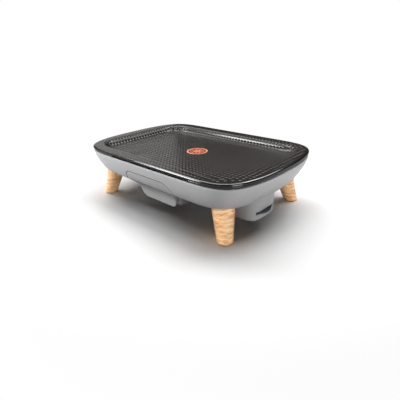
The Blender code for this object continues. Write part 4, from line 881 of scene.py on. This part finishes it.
def notch_cutter(side):
    """Wedge-ended block that cuts the ring away between the two slanted ends of the gap."""
    lean = NOTCH_LEAN * (NOTCH_HEIGHTS - NOTCH_LEVEL)
    x = np.r_[NOTCH_ENDS + (-lean[0], lean[0]), NOTCH_ENDS[::-1] + (lean[1], -lean[1])]
    return slab("notch", x * MM, np.repeat(NOTCH_HEIGHTS, 2) * MM, side * NOTCH_NEAR, side * NOTCH_FAR)


def make_ring(settings):
    """Support ring: its stepped section, with a round bead, carried round the shared outline."""
    bead = [(1.0 + 1.25 * (1 - sin(turn)), 127.05 - 1.25 * cos(turn))
            for turn in np.linspace(0.15, pi - 0.4, 9)]
    profile = ((2.6, 123.1), (2.6, 125.8), *bead, (1.9, 129.5), (2.1, 129.7), (3.6, 129.7),
               (3.6, 130.6), (3.8, 130.8), (5.4, 130.8), (5.6, 130.6), (5.6, 124.9), (16.0, 124.9),
               (16.0, 123.1))
    ring = skin("support_ring", carried(body_outline, profile), looped=True)
    combine(ring, [notch_cutter(side) for side in (-1, 1)])
    black = moulded_finish("gloss_black_ring", settings.bezel, 0.16, relief=0.004 * MM, spread=0.03)
    finished(ring, "base", black, ["plate_support_ring"])


def shell_rows(steps):
    """Rows of the shell's side from its lip down to its bottom."""
    heights = LIP_HEIGHT - CURVE_HEIGHT * np.sin(np.linspace(0.0, pi / 2, steps)) ** (2 / SHELL_CURVE)
    return [at_height(body_outline(SHELL_INSET + SHELL_END_TAPER * share,
                                   SHELL_INSET + SHELL_SIDE_TAPER * share), height)
            for share, height in zip(shell_taper(heights), heights)]


def front_shape(grow):
    """Outline of the juice tray's front in x and z: a trapezium with two round upper corners."""
    lean = (FRONT_LOW_HALF - FRONT_TOP_HALF) / (FRONT_TOP - FRONT_LOW)
    low = SHELL_BOTTOM - 6 * MM
    low_half = FRONT_LOW_HALF + lean * (FRONT_LOW - low) + grow
    side = Vector((FRONT_TOP_HALF - low_half + grow, FRONT_TOP + grow - low)).normalized()
    corner = Vector((FRONT_TOP_HALF + grow, FRONT_TOP + grow))
    half_angle = Vector((-1.0, 0.0)).angle(-side) / 2
    radius = FRONT_CORNER + grow
    middle = corner + (Vector((-1.0, 0.0)) - side).normalized() * (radius / sin(half_angle))
    touch = corner - side * (radius / np.tan(half_angle)) - middle
    turn = np.linspace(np.arctan2(touch.y, touch.x), pi / 2, 25)
    return (np.r_[low_half, middle[0] + radius * np.cos(turn)],
            np.r_[low, middle[1] + radius * np.sin(turn)])


def along_front(item, grow, reach):
    """Faces of a piece whose middles lie within reach of the tray front's grown outline.

    The distance to each of the outline's lines is that to the nearest place on it, found from
    the share of the line at which the offset is square to it.
    """
    places = face_values(item, "center")
    lines = np.stack(front_shape(grow), axis=1)
    step = np.diff(lines, axis=0)
    offset = np.abs(places[:, None, ::2]) - lines[None, :-1]
    share = np.clip((offset * step).sum(2) / (step ** 2).sum(1), 0.0, 1.0)
    near = np.linalg.norm(offset - share[..., None] * step, axis=2).min(axis=1)
    return (near < reach) & (places[:, 1] < -100 * MM)


def make_shell(grey):
    """Base shell: its outer rows, then the same rows pushed in by the wall, as one closed wall."""
    outer = shell_rows(34)
    inner = pushed(np.array(outer), SHELL_WALL)
    inner[-1, :, 2] = SHELL_BOTTOM + SHELL_WALL
    opening = at_height(even_outline(130 * MM, 84 * MM, 8.0, 8.0, centre=(-20 * MM, 0.0)), SHELL_BOTTOM)
    edge = rounding(body_outline, SHELL_INSET, SHELL_TOP, SHELL_EDGE, 6, rise=-1)
    rim = at_height(body_outline(SHELL_INSET + SHELL_WALL), SHELL_TOP)
    shell = merged(skin("base_moulding", [opening, *outer[::-1], *edge[::-1], rim, *inner,
                                          opening + np.array((0.0, 0.0, SHELL_WALL))], looped=True))
    studs = [(sx * LEG_TOP[0], sy * LEG_TOP[1]) for sx, sy in CORNERS]
    screws = screw_places()
    posts = []
    for (sx, sy), stud in zip(CORNERS, studs):
        posts += [lathe("post", [(5, 74), (5, 102.1), (4.4, 102.7)], (sx * 125 * MM, sy * 98 * MM), 24),
                  lathe("stud_boss", [(9, 74), (9, 79.3), (8.4, 79.9)], stud, 32)]
    posts += [lathe("screw_boss", [(4.2, 74), (4.2, 80.6)], place, 20) for place in screws]
    combine(shell, posts, "UNION")
    combine(shell, [*(lathe("screw_bore", [(2.0, 66), (2.0, 79.1)], place, 20) for place in screws),
                    *(lathe("stud_bore", [(STUD_BORE, 66), (STUD_BORE, 86)], place, 24) for place in studs),
                    slab("window", *front_window(FRONT_SEAM), WING_BACK + FRONT_SEAM, -175 * MM),
                    block("bin_way", (-70.5, -168.8, 60), (70.5, -26.5, 78.4)),
                    block("hatch", (192.5, -66, 60), (225.5, -24, 77.4), 2)])
    # painted shade: the cut faces round the tray front's window get the dark finish, so that the seam reads
    # as a dark line
    finished(shell, "base", [grey, FINISHES["dark"]], ["base_shell"])
    mark_faces(shell, along_front(shell, FRONT_SEAM, 0.1 * MM))


def front_window(grow):
    """Both halves of the front's outline, as one closed loop in x and z."""
    x, z = front_shape(grow)
    return np.r_[x, -x[::-1]], np.r_[z, z[::-1]]


def screw_places():
    """Places of the six cover screws, read from the CAD screws' boxes."""
    boxes = [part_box("cover_screw_%d" % number) for number in range(1, 7)]
    return [((low.x + high.x) / 2, (low.y + high.y) / 2) for low, high in boxes]


def make_housing(grey):
    """Control housing: drafted rows of its outline, whose top row runs along the shell.

    Each side line is cut off where it enters the shell's shape. The inner wall is the same
    with the outline drawn in by the wall.
    """
    def outline(inset):
        return even_outline(HOUSING_HALF[0] - inset, HOUSING_HALF[1] - inset, *HOUSING_POWERS, 192,
                            HOUSING_CENTRE)

    def side(extra):
        low = at_height(outline(HOUSING_DRAFT + extra), HOUSING_BOTTOM + HOUSING_ROUND)
        high = low + (at_height(outline(extra), HOUSING_TOP) - low) * 1.8
        return low, meet_shell(low, high)

    outer, outer_top = side(0.0)
    inner, inner_top = side(HOUSING_WALL)
    housing = skin("control_box", [
        *rounding(outline, HOUSING_DRAFT, HOUSING_BOTTOM, HOUSING_ROUND, 8),
        *between(outer, outer_top, 9), inner_top, *between(inner_top, inner, 9),
        *rounding(outline, HOUSING_DRAFT + HOUSING_WALL, HOUSING_BOTTOM + HOUSING_WALL, 1.5 * MM, 4,
                  0.0, pi / 2)[1:]])
    half_wall = HOUSING_WALL / 2
    core = [at_height(outline(inset + half_wall), height) for inset, height in (
        (HOUSING_DRAFT + HOUSING_ROUND, HOUSING_BOTTOM + half_wall),
        (HOUSING_DRAFT, HOUSING_BOTTOM + half_wall + HOUSING_ROUND), (0.0, HOUSING_TOP))]
    ledges = [block("ledge", (202.5, near, 35), (218.5, far, 56.7))
              for near, far in ((-88, -79.5), (-10.5, 4))]
    for ledge in ledges:
        combine(ledge, [skin("housing_core", core)], "INTERSECT")
    combine(housing, ledges, "UNION")
    combine(housing, [block("dial_slot", (210.5, -74, 47.2), (245, -16, 53.5)),
                      block("inlet_hole", (149.7, -8, 43.7), (174.3, 10, 64.3))])
    finished(housing, "base", grey, ["control_housing"])


def make_dial(settings, dark):
    """Dial: a disc whose edge waves in and out once for each tooth, with softened rims."""
    spokes = circle(1.0, settings.dial_teeth * 10)
    turn = np.linspace(0.0, 2 * pi, len(spokes), endpoint=False)
    wave = DIAL_TOOTH * (1 - np.cos(settings.dial_teeth * turn)) / 2
    # radius, whether it is toothed, and height, in millimetres
    profile = ((3.3, 0, 47.7), (30, 0, 47.7), (33.5, 1, 47.7), (34, 1, 48.2), (34, 1, 52.4),
               (33.4, 1, 53.0), (31, 0, 53.0), (30.4, 0, 52.5), (3.3, 0, 52.5))
    dial = skin("dial_wheel", [
        at_height(np.array(DIAL_CENTRE) + spokes * (radius * MM - wave * toothed)[:, None], height * MM)
        for radius, toothed, height in profile], looped=True)
    finished(dial, "dial", dark, ["thermostat_dial"])


def make_tray_front(grey):
    """Juice tray front: the shell's own surface above, flowing into the hanging grip below.

    Sections are rounded loops at falling heights. Above the shell's bottom a loop's front
    points lie on the shell's side at that height, and its width follows the trapezium. Below,
    width, front and back pass smoothly through the grip's given shares.
    """
    shape_x, shape_z = front_shape(0.0)
    order = np.argsort(shape_z)
    rows = []
    for height in SHELL_BOTTOM + (FRONT_TOP - SHELL_BOTTOM) * (1 - np.linspace(0.0, 1.0, 30) ** 2)[:-1]:
        half = np.interp(height, shape_z[order], shape_x[order])
        loop = rounded_loop(half, 0.0, SHELL_WALL, 0.5 * MM, 65, 3, 4)
        a, b = shell_halves(height)
        surface = -b * (1 - (np.abs(loop[:, 0]) / a) ** END_POWER) ** (1 / SIDE_POWER)
        back = np.interp(height, (SHELL_BOTTOM + SHELL_WALL, SHELL_BOTTOM + SHELL_WALL + 2 * MM), (1.0, 0.0))
        loop[:, 1] = surface + loop[:, 1] * (1 + ((WING_BACK + b) / SHELL_WALL - 1) * back)
        rows.append(at_height(loop, height))
    for drop in (*np.linspace(0.0, 0.93, 30), 0.95, 0.965, 0.98, 0.99, 1.0):
        width, near, far = [np.interp(drop, GRIP_SHARES[:, 0], shares) for shares in GRIP_SHARES.T[1:]]
        corner = min((far - near) * GRIP_REACH * 0.45, 10 * MM) * np.clip(drop / 0.1, 0.07, 1.0)
        rows.append(at_height(rounded_loop(FRONT_LOW_HALF * width, LIP_FRONT + GRIP_REACH * near,
                                           LIP_FRONT + GRIP_REACH * far, corner, 65, 3, 4),
                              SHELL_BOTTOM - GRIP_DROP * drop))
    front = merged(skin("tray_front_moulding", rows[::-1]))
    # painted shade: the front's edge faces above the shell's bottom get the dark finish, so that the seam
    # reads as a dark line
    finished(front, "juice_tray", [grey, FINISHES["dark"]], ["juice_tray_front"])
    mark_faces(front, (np.abs(face_values(front, "normal")[:, 1]) < 0.35)
               & (face_values(front, "center")[:, 2] > SHELL_BOTTOM + 1 * MM))


def make_tray_bin(grey):
    """Juice bin: rounded rectangles up the outside, over the flange and down the inside."""
    def outline(inset):
        return rounded_loop(BIN_HALF - inset, BIN_FRONT + inset, BIN_REAR - inset,
                            max(8 * MM - inset, 1.5 * MM), 12, 7, 8)

    # inset and height of the flange and the inner wall, in millimetres
    flange = ((0.0, 79.4), (-0.4, 79.8), (-5.2, 79.8), (-5.5, 80.1), (-5.5, 81.7), (-5.2, 82.0),
              (1.7, 82.0), (2.2, 81.5), (2.2, 41.0))
    tray = skin("juice_bin", [
        *rounding(outline, 0.0, BIN_BOTTOM, BIN_ROUND, 7), *carried(outline, flange),
        *rounding(outline, BIN_WALL, BIN_BOTTOM + BIN_WALL, 3.8 * MM, 6, 0.0, pi / 2)[1:]])
    finished(tray, "juice_tray", grey, ["juice_tray_bin"])


def make_leg(corner, sx, sy, wood):
    """Turned leg: circles whose middle and radius pass evenly from the foot to the shell.

    Each side line ends where it enters the shell's shape. A map of places straightened along
    the leg's axis carries the grain.
    """
    count = 96
    foot = np.array((sx * LEG_FOOT[0], sy * LEG_FOOT[1]))
    head = np.array((sx * LEG_TOP[0], sy * LEG_TOP[1]))

    def ring(height, draw_in=0.0):
        share = height / SHELL_BOTTOM
        radius = LEG_FOOT_RADIUS + (LEG_TOP_RADIUS - LEG_FOOT_RADIUS) * share - draw_in
        return at_height(circle(radius, count, foot + (head - foot) * share), height)

    seat = circle(PAD_SEAT_RADIUS, count, foot)
    rows = [at_height(seat, LEG_GAP + 1.2 * MM), at_height(seat, LEG_GAP),
            *(ring(LEG_GAP + LEG_ROUND * (1 - sin(turn)), LEG_ROUND * (1 - cos(turn)))
              for turn in np.linspace(pi / 2, 0.0, 8))]
    rows += between(rows[-1], meet_shell(rows[-1], ring(97 * MM)), 17)
    leg = skin("leg_turning_" + corner, rows)
    combine(leg, [lathe("stud_hole", [(STUD_BORE, 49.7), (STUD_BORE, 100)], head, 32)])
    places = np.empty(len(leg.data.vertices) * 3, np.float32)
    leg.data.vertices.foreach_get("co", places)
    places = places.reshape(-1, 3)
    places[:, :2] -= foot + (head - foot) * places[:, 2:3] / SHELL_BOTTOM
    places += np.array((11 * sx, 7 * sy, 130 * (sx + 2 * sy))) * MM
    store_places(leg, "leg_place", places)
    finished(leg, "base", wood, ["leg_" + corner])


def element_path():
    """Middle line of the heating element: a bend up, four runs with three turns, a bend down."""
    z, end_x, turn_x, reach = 112.7 * MM, 165 * MM, 125 * MM, 25 * MM
    bend_radius, terminal_z = 6 * MM, 85.3 * MM
    runs = [-75 * MM, -25 * MM, 25 * MM, 75 * MM]
    bend = np.linspace(0.0, pi / 2, 13)
    knee = np.stack([end_x - bend_radius * (1 - np.cos(bend)), z - bend_radius * (1 - np.sin(bend))],
                    axis=1)
    points = [(end_x, runs[0], terminal_z)] + [(x, runs[0], h) for x, h in knee]
    for number, side in enumerate((-1, 1, -1)):
        middle = (runs[number] + runs[number + 1]) / 2
        points += [(side * turn_x + reach * cos(turn), middle + reach * sin(turn), z)
                   for turn in np.linspace(-pi / 2, -pi / 2 + side * pi, 33)]
    return points + [(x, runs[3], h) for x, h in knee[::-1]] + [(end_x, runs[3], terminal_z)]


def make_element(steel):
    """Heating element as a tube along its path."""
    element = tube("element_tube", element_path(), ELEMENT_RADIUS, 24)
    finished(element, "base", steel, ["heating_element"], crease=1.2)


def make_screws(bright):
    """Pan-head cover screws: domed heads with a pressed cross, and plain shanks.

    On the head's polar grid the height is a dome less a dip wherever the place is near either
    of two crossed lines.
    """
    spokes = circle(1.0, 48)
    for number, (x, y) in enumerate(screw_places(), 1):
        low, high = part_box("cover_screw_%d" % number)
        seat = low.z + 1.8 * MM
        rows = [at_height(spokes * SCREW_SHANK, high.z), at_height(spokes * SCREW_SHANK, seat),
                at_height(spokes * SCREW_HEAD, seat)]
        for share in np.linspace(1.0, 0.06, 16):
            ring = spokes * SCREW_HEAD * share
            dome = seat - SCREW_DOME * (1 - share ** 4 * 0.75)
            cross = np.clip((0.45 * MM - np.abs(ring).min(axis=1)) / (0.15 * MM), 0, 1)
            within = np.clip((2.1 * MM - SCREW_HEAD * share) / (0.3 * MM), 0, 1)
            rows.append(at_height(ring, dome + CROSS_DEPTH * cross * within))
        rows = np.array(rows)
        rows[..., :2] += (x, y)
        screw = merged(skin("pan_screw_%d" % number, rows))
        finished(screw, "base", bright, ["cover_screw_%d" % number])


CAD_FINISHES = {
    "bottom_cover": "grey", "dial_shaft": "bright", "element_saddle": "sheet",
    "glide_pad": "rubber", "inlet_body": "dark", "inlet_pin": "brass", "juice_chute": "dark",
    "leg_nut": "bright", "leg_stud": "bright", "reflector_tray": "sheet", "sensor_capsule": "sheet",
    "sensor_guide": "ceramic", "sensor_lead": "bright", "sensor_spring": "bright",
    "terminal_insulator": "ceramic", "thermostat_body": "dark", "thermostat_bracket": "sheet",
    "tray_runner": "dark",
}
FINISHES = {}


def make_finishes(scene):
    """The finishes that several pieces share."""
    base = scene.plancha_base
    FINISHES.update(
        grey=moulded_finish("satin_grey_moulding", base.shell, 0.40, relief=0.018 * MM),
        # the housing's grey is the shell's grey at 0.74: painted shade for the less light that reaches it
        box=moulded_finish("satin_grey_box", shade_of(base.shell, 0.74), 0.40, relief=0.018 * MM),
        # dark plastic of the dial and inner parts, and also the painted shade on the front seam's cut faces
        dark=moulded_finish("dark_moulding", base.dial, 0.48, relief=0.03 * MM),
        rubber=moulded_finish("pad_rubber", (0.030, 0.030, 0.030), 0.85, 1.2 * MM, 0.05 * MM),
        bright=metal_finish("zinced_steel", (0.60, 0.60, 0.61), 0.28, (8.0, 8.0, 30.0)),
        sheet=metal_finish("aluminised_sheet", (0.62, 0.63, 0.64), 0.36, (1.0, 24.0, 24.0), 0.95),
        brass=metal_finish("brass_pins", (0.71, 0.53, 0.25), 0.26, (24.0, 2.0, 24.0)),
        steel=heated_finish("element_sheath", (0.20, 0.19, 0.18)),
        ceramic=ceramic_finish("insulator_ceramic", (0.80, 0.78, 0.73)),
        wood=beech_finish(scene.plancha_legs),
    )


def finish_nodes():
    """Give every CAD node that stays in view its finish."""
    for name, item in frame["nodes"].items():
        for start, finish in CAD_FINISHES.items():
            if name.startswith(start):
                item.data.materials.clear()
                item.data.materials.append(FINISHES[finish])


# Stage

def make_camera():
    """Camera at the photograph's place: turned by yaw, pitched down, then rolled."""
    forward = Vector((sin(CAMERA_YAW) * cos(CAMERA_PITCH), cos(CAMERA_YAW) * cos(CAMERA_PITCH),
                      -sin(CAMERA_PITCH)))
    right = forward.cross(Vector((0, 0, 1))).normalized()
    up = right.cross(forward)
    side = right * cos(CAMERA_ROLL) + up * sin(CAMERA_ROLL)
    head = up * cos(CAMERA_ROLL) - right * sin(CAMERA_ROLL)
    data = bpy.data.cameras.new("photo_camera")
    data.lens = CAMERA_LENS
    data.sensor_width = 36.0
    data.clip_start = 0.02
    camera = bpy.data.objects.new("photo_camera", data)
    camera.matrix_world = Matrix.Translation(CAMERA_PLACE) @ Matrix(
        (side, head, -forward)).transposed().to_4x4()
    bpy.context.scene.collection.objects.link(camera)
    bpy.context.scene.camera = camera


def make_floor(settings):
    """Pale floor that keeps the object's shadow and passes into the white surroundings.

    To the camera and in reflections its share of plain white grows with the distance from the
    object, so that it meets the white background without an edge.
    """
    mesh = bpy.data.meshes.new("floor")
    mesh.from_pydata([(x * FLOOR_HALF, y * FLOOR_HALF, 0) for x, y in ((-1, -1), (1, -1), (1, 1), (-1, 1))],
                     [], [(0, 1, 2, 3)])
    floor = bpy.data.objects.new("floor", mesh)
    bpy.context.scene.collection.objects.link(floor)
    material, tree, place = new_finish("pale_floor", FLOOR_LIT, 0.9, Specular_IOR_Level=0.0)
    shader = tree.nodes["Principled BSDF"]
    ray = node(tree, "LightPath").outputs
    seen = maths(tree, "MAXIMUM", maths(tree, "MAXIMUM", ray["Is Camera Ray"], ray["Is Glossy Ray"]),
                 ray["Is Transmission Ray"])
    tree.links.new(blended(tree, seen, FLOOR_LIT, WHITE), shader.inputs["Base Color"])
    away = vector_maths(tree, "LENGTH", vector_maths(tree, "MULTIPLY", place, (1.0, 1.35, 0.0)))
    far = maths(tree, "MULTIPLY", mapped(tree, away, *settings.floor_fade), seen)
    white = node(tree, "Emission", {"Color": WHITE, "Strength": 1.0})
    mix = node(tree, "MixShader", {0: far, 1: shader.outputs[0], 2: white.outputs[0]})
    tree.links.new(mix.outputs[0], tree.nodes["Material Output"].inputs["Surface"])
    mesh.materials.append(material)
    return floor


def make_world(settings):
    """Surroundings that are white to the camera and give a faint even light."""
    world = bpy.data.worlds.new("studio")
    bpy.context.scene.world = world
    world.use_nodes = True
    tree = world.node_tree
    background = tree.nodes["Background"]
    background.inputs["Color"].default_value = WHITE
    ray = node(tree, "LightPath").outputs
    seen = maths(tree, "MAXIMUM", ray["Is Camera Ray"], ray["Is Transmission Ray"])
    tree.links.new(spread_over(tree, seen, settings.ambient, 1.0), background.inputs["Strength"])


def make_lights(settings, floor):
    """Soft boxes over and round the object: rectangular area lamps aimed at its middle.

    The front, right, roll and corner boxes leave the floor alone, so that the shadow under the
    object stays as deep as it is. The leg box only lights the legs.
    """
    spared = bpy.data.collections.new("lit_without_floor")
    spared.objects.link(floor)
    spared.collection_objects[0].light_linking.link_state = "EXCLUDE"
    legs = bpy.data.collections.new("legs_alone")
    for item in bpy.context.scene.objects:
        if item.name.startswith("leg_turning_"):
            legs.objects.link(item)
    # setting, place, width, height and what it lights
    for name, place, width, height, lit in (
            ("overhead", (0.0, 0.30, 1.2), 0.9, 0.6, None),
            ("edge", (0.25, 0.75, 1.05), 0.9, 0.6, None),
            ("overhead_left", (-0.75, 0.05, 1.15), 0.7, 0.7, None),
            ("overhead_front", (-0.1, -0.35, 1.3), 0.6, 0.6, None),
            ("left", (-1.6, 0.75, 0.55), 1.0, 0.9, None),
            ("front", (-0.70, -0.80, 0.75), 0.45, 0.45, spared),
            ("right", (1.2, -0.35, 0.5), 0.5, 0.7, spared),
            ("roll", (-1.35, -0.05, 1.15), 0.12, 0.8, spared),
            ("corner", (0.10, 0.80, 1.2), 0.3, 0.3, spared),
            ("leg", (0.75, -1.15, 0.40), 0.6, 0.4, legs)):
        data = bpy.data.lights.new(name + "_box", "AREA")
        data.shape = "RECTANGLE"
        data.size, data.size_y = width, height
        data.energy = getattr(settings, name)
        lamp = bpy.data.objects.new(name + "_box", data)
        lamp.location = place
        ahead = Vector(LAMP_AIM) - Vector(place)
        lamp.rotation_euler = ahead.to_track_quat("-Z", "Y").to_euler()
        bpy.context.scene.collection.objects.link(lamp)
        if lit is not None:
            lamp.light_linking.receiver_collection = lit


class PieceOperator:
    """What the operators share: each is a step that can be undone."""
    bl_options = {"REGISTER", "UNDO"}


class PLANCHA_OT_plate(PieceOperator, bpy.types.Operator):
    """Make the griddle plate"""
    bl_idname = "plancha.plate"
    bl_label = "Griddle plate"

    def execute(self, context):
        make_plate(context.scene.plancha_plate)
        return {"FINISHED"}


class PLANCHA_OT_base(PieceOperator, bpy.types.Operator):
    """Make the support ring, the base shell and the cover screws"""
    bl_idname = "plancha.base"
    bl_label = "Ring, shell and screws"

    def execute(self, context):
        make_ring(context.scene.plancha_base)
        make_shell(FINISHES["grey"])
        make_screws(FINISHES["bright"])
        return {"FINISHED"}


class PLANCHA_OT_controls(PieceOperator, bpy.types.Operator):
    """Make the control housing and the thermostat dial"""
    bl_idname = "plancha.controls"
    bl_label = "Control housing and dial"

    def execute(self, context):
        make_housing(FINISHES["box"])
        make_dial(context.scene.plancha_base, FINISHES["dark"])
        return {"FINISHED"}


class PLANCHA_OT_tray(PieceOperator, bpy.types.Operator):
    """Make the juice tray's front and bin"""
    bl_idname = "plancha.tray"
    bl_label = "Juice tray"

    def execute(self, context):
        make_tray_front(FINISHES["grey"])
        make_tray_bin(FINISHES["grey"])
        return {"FINISHED"}


class PLANCHA_OT_legs(PieceOperator, bpy.types.Operator):
    """Make the four turned legs"""
    bl_idname = "plancha.legs"
    bl_label = "Legs"

    def execute(self, context):
        for corner, sx, sy in (("front_left", -1, -1), ("front_right", 1, -1),
                               ("rear_left", -1, 1), ("rear_right", 1, 1)):
            make_leg(corner, sx, sy, FINISHES["wood"])
        return {"FINISHED"}


class PLANCHA_OT_element(PieceOperator, bpy.types.Operator):
    """Make the heating element"""
    bl_idname = "plancha.element"
    bl_label = "Heating element"

    def execute(self, context):
        make_element(FINISHES["steel"])
        return {"FINISHED"}


class PLANCHA_OT_finishes(PieceOperator, bpy.types.Operator):
    """Make the shared finishes and give them to the CAD pieces that stay"""
    bl_idname = "plancha.finishes"
    bl_label = "Finishes"

    def execute(self, context):
        make_finishes(context.scene)
        finish_nodes()
        return {"FINISHED"}


class PLANCHA_OT_stage(PieceOperator, bpy.types.Operator):
    """Make the camera, the floor and the lights"""
    bl_idname = "plancha.stage"
    bl_label = "Stage"

    def execute(self, context):
        settings = context.scene.plancha_stage
        make_camera()
        make_world(settings)
        make_lights(settings, make_floor(settings))
        return {"FINISHED"}


class PLANCHA_PT_panel(bpy.types.Panel):
    """Lists the plancha's pieces and settings"""
    bl_idname = "PLANCHA_PT_panel"
    bl_label = "Plancha"
    bl_space_type = "VIEW_3D"
    bl_region_type = "UI"
    bl_category = "Plancha"

    def draw(self, context):
        for name in SETTINGS:
            settings = getattr(context.scene, name)
            column = self.layout.column(align=True)
            for label in settings.__annotations__:
                column.prop(settings, label)
        for operator in OPERATORS:
            self.layout.operator(operator.bl_idname)


SETTINGS = {"plancha_plate": PlateSettings, "plancha_base": BaseSettings,
            "plancha_legs": LegSettings, "plancha_stage": StageSettings}
OPERATORS = (PLANCHA_OT_finishes, PLANCHA_OT_plate, PLANCHA_OT_base, PLANCHA_OT_controls,
             PLANCHA_OT_tray, PLANCHA_OT_legs, PLANCHA_OT_element, PLANCHA_OT_stage)


def register():
    """Register the classes and hang the settings on the scene."""
    for one in (*SETTINGS.values(), *OPERATORS, PLANCHA_PT_panel):
        bpy.utils.register_class(one)
    for name, one in SETTINGS.items():
        setattr(bpy.types.Scene, name, PointerProperty(type=one))


def unregister():
    """Take the settings and the classes away again."""
    for name in SETTINGS:
        delattr(bpy.types.Scene, name)
    for one in (PLANCHA_PT_panel, *reversed(OPERATORS), *SETTINGS.values()):
        bpy.utils.unregister_class(one)


def main():
    """Register, make every piece and the stage."""
    register()
    bpy.ops.plancha.finishes()
    bpy.ops.plancha.plate()
    bpy.ops.plancha.base()
    bpy.ops.plancha.controls()
    bpy.ops.plancha.tray()
    bpy.ops.plancha.legs()
    bpy.ops.plancha.element()
    bpy.ops.plancha.stage()
    scene = bpy.context.scene
    scene.view_settings.view_transform = "Standard"


if __name__ == "__main__":
    main()
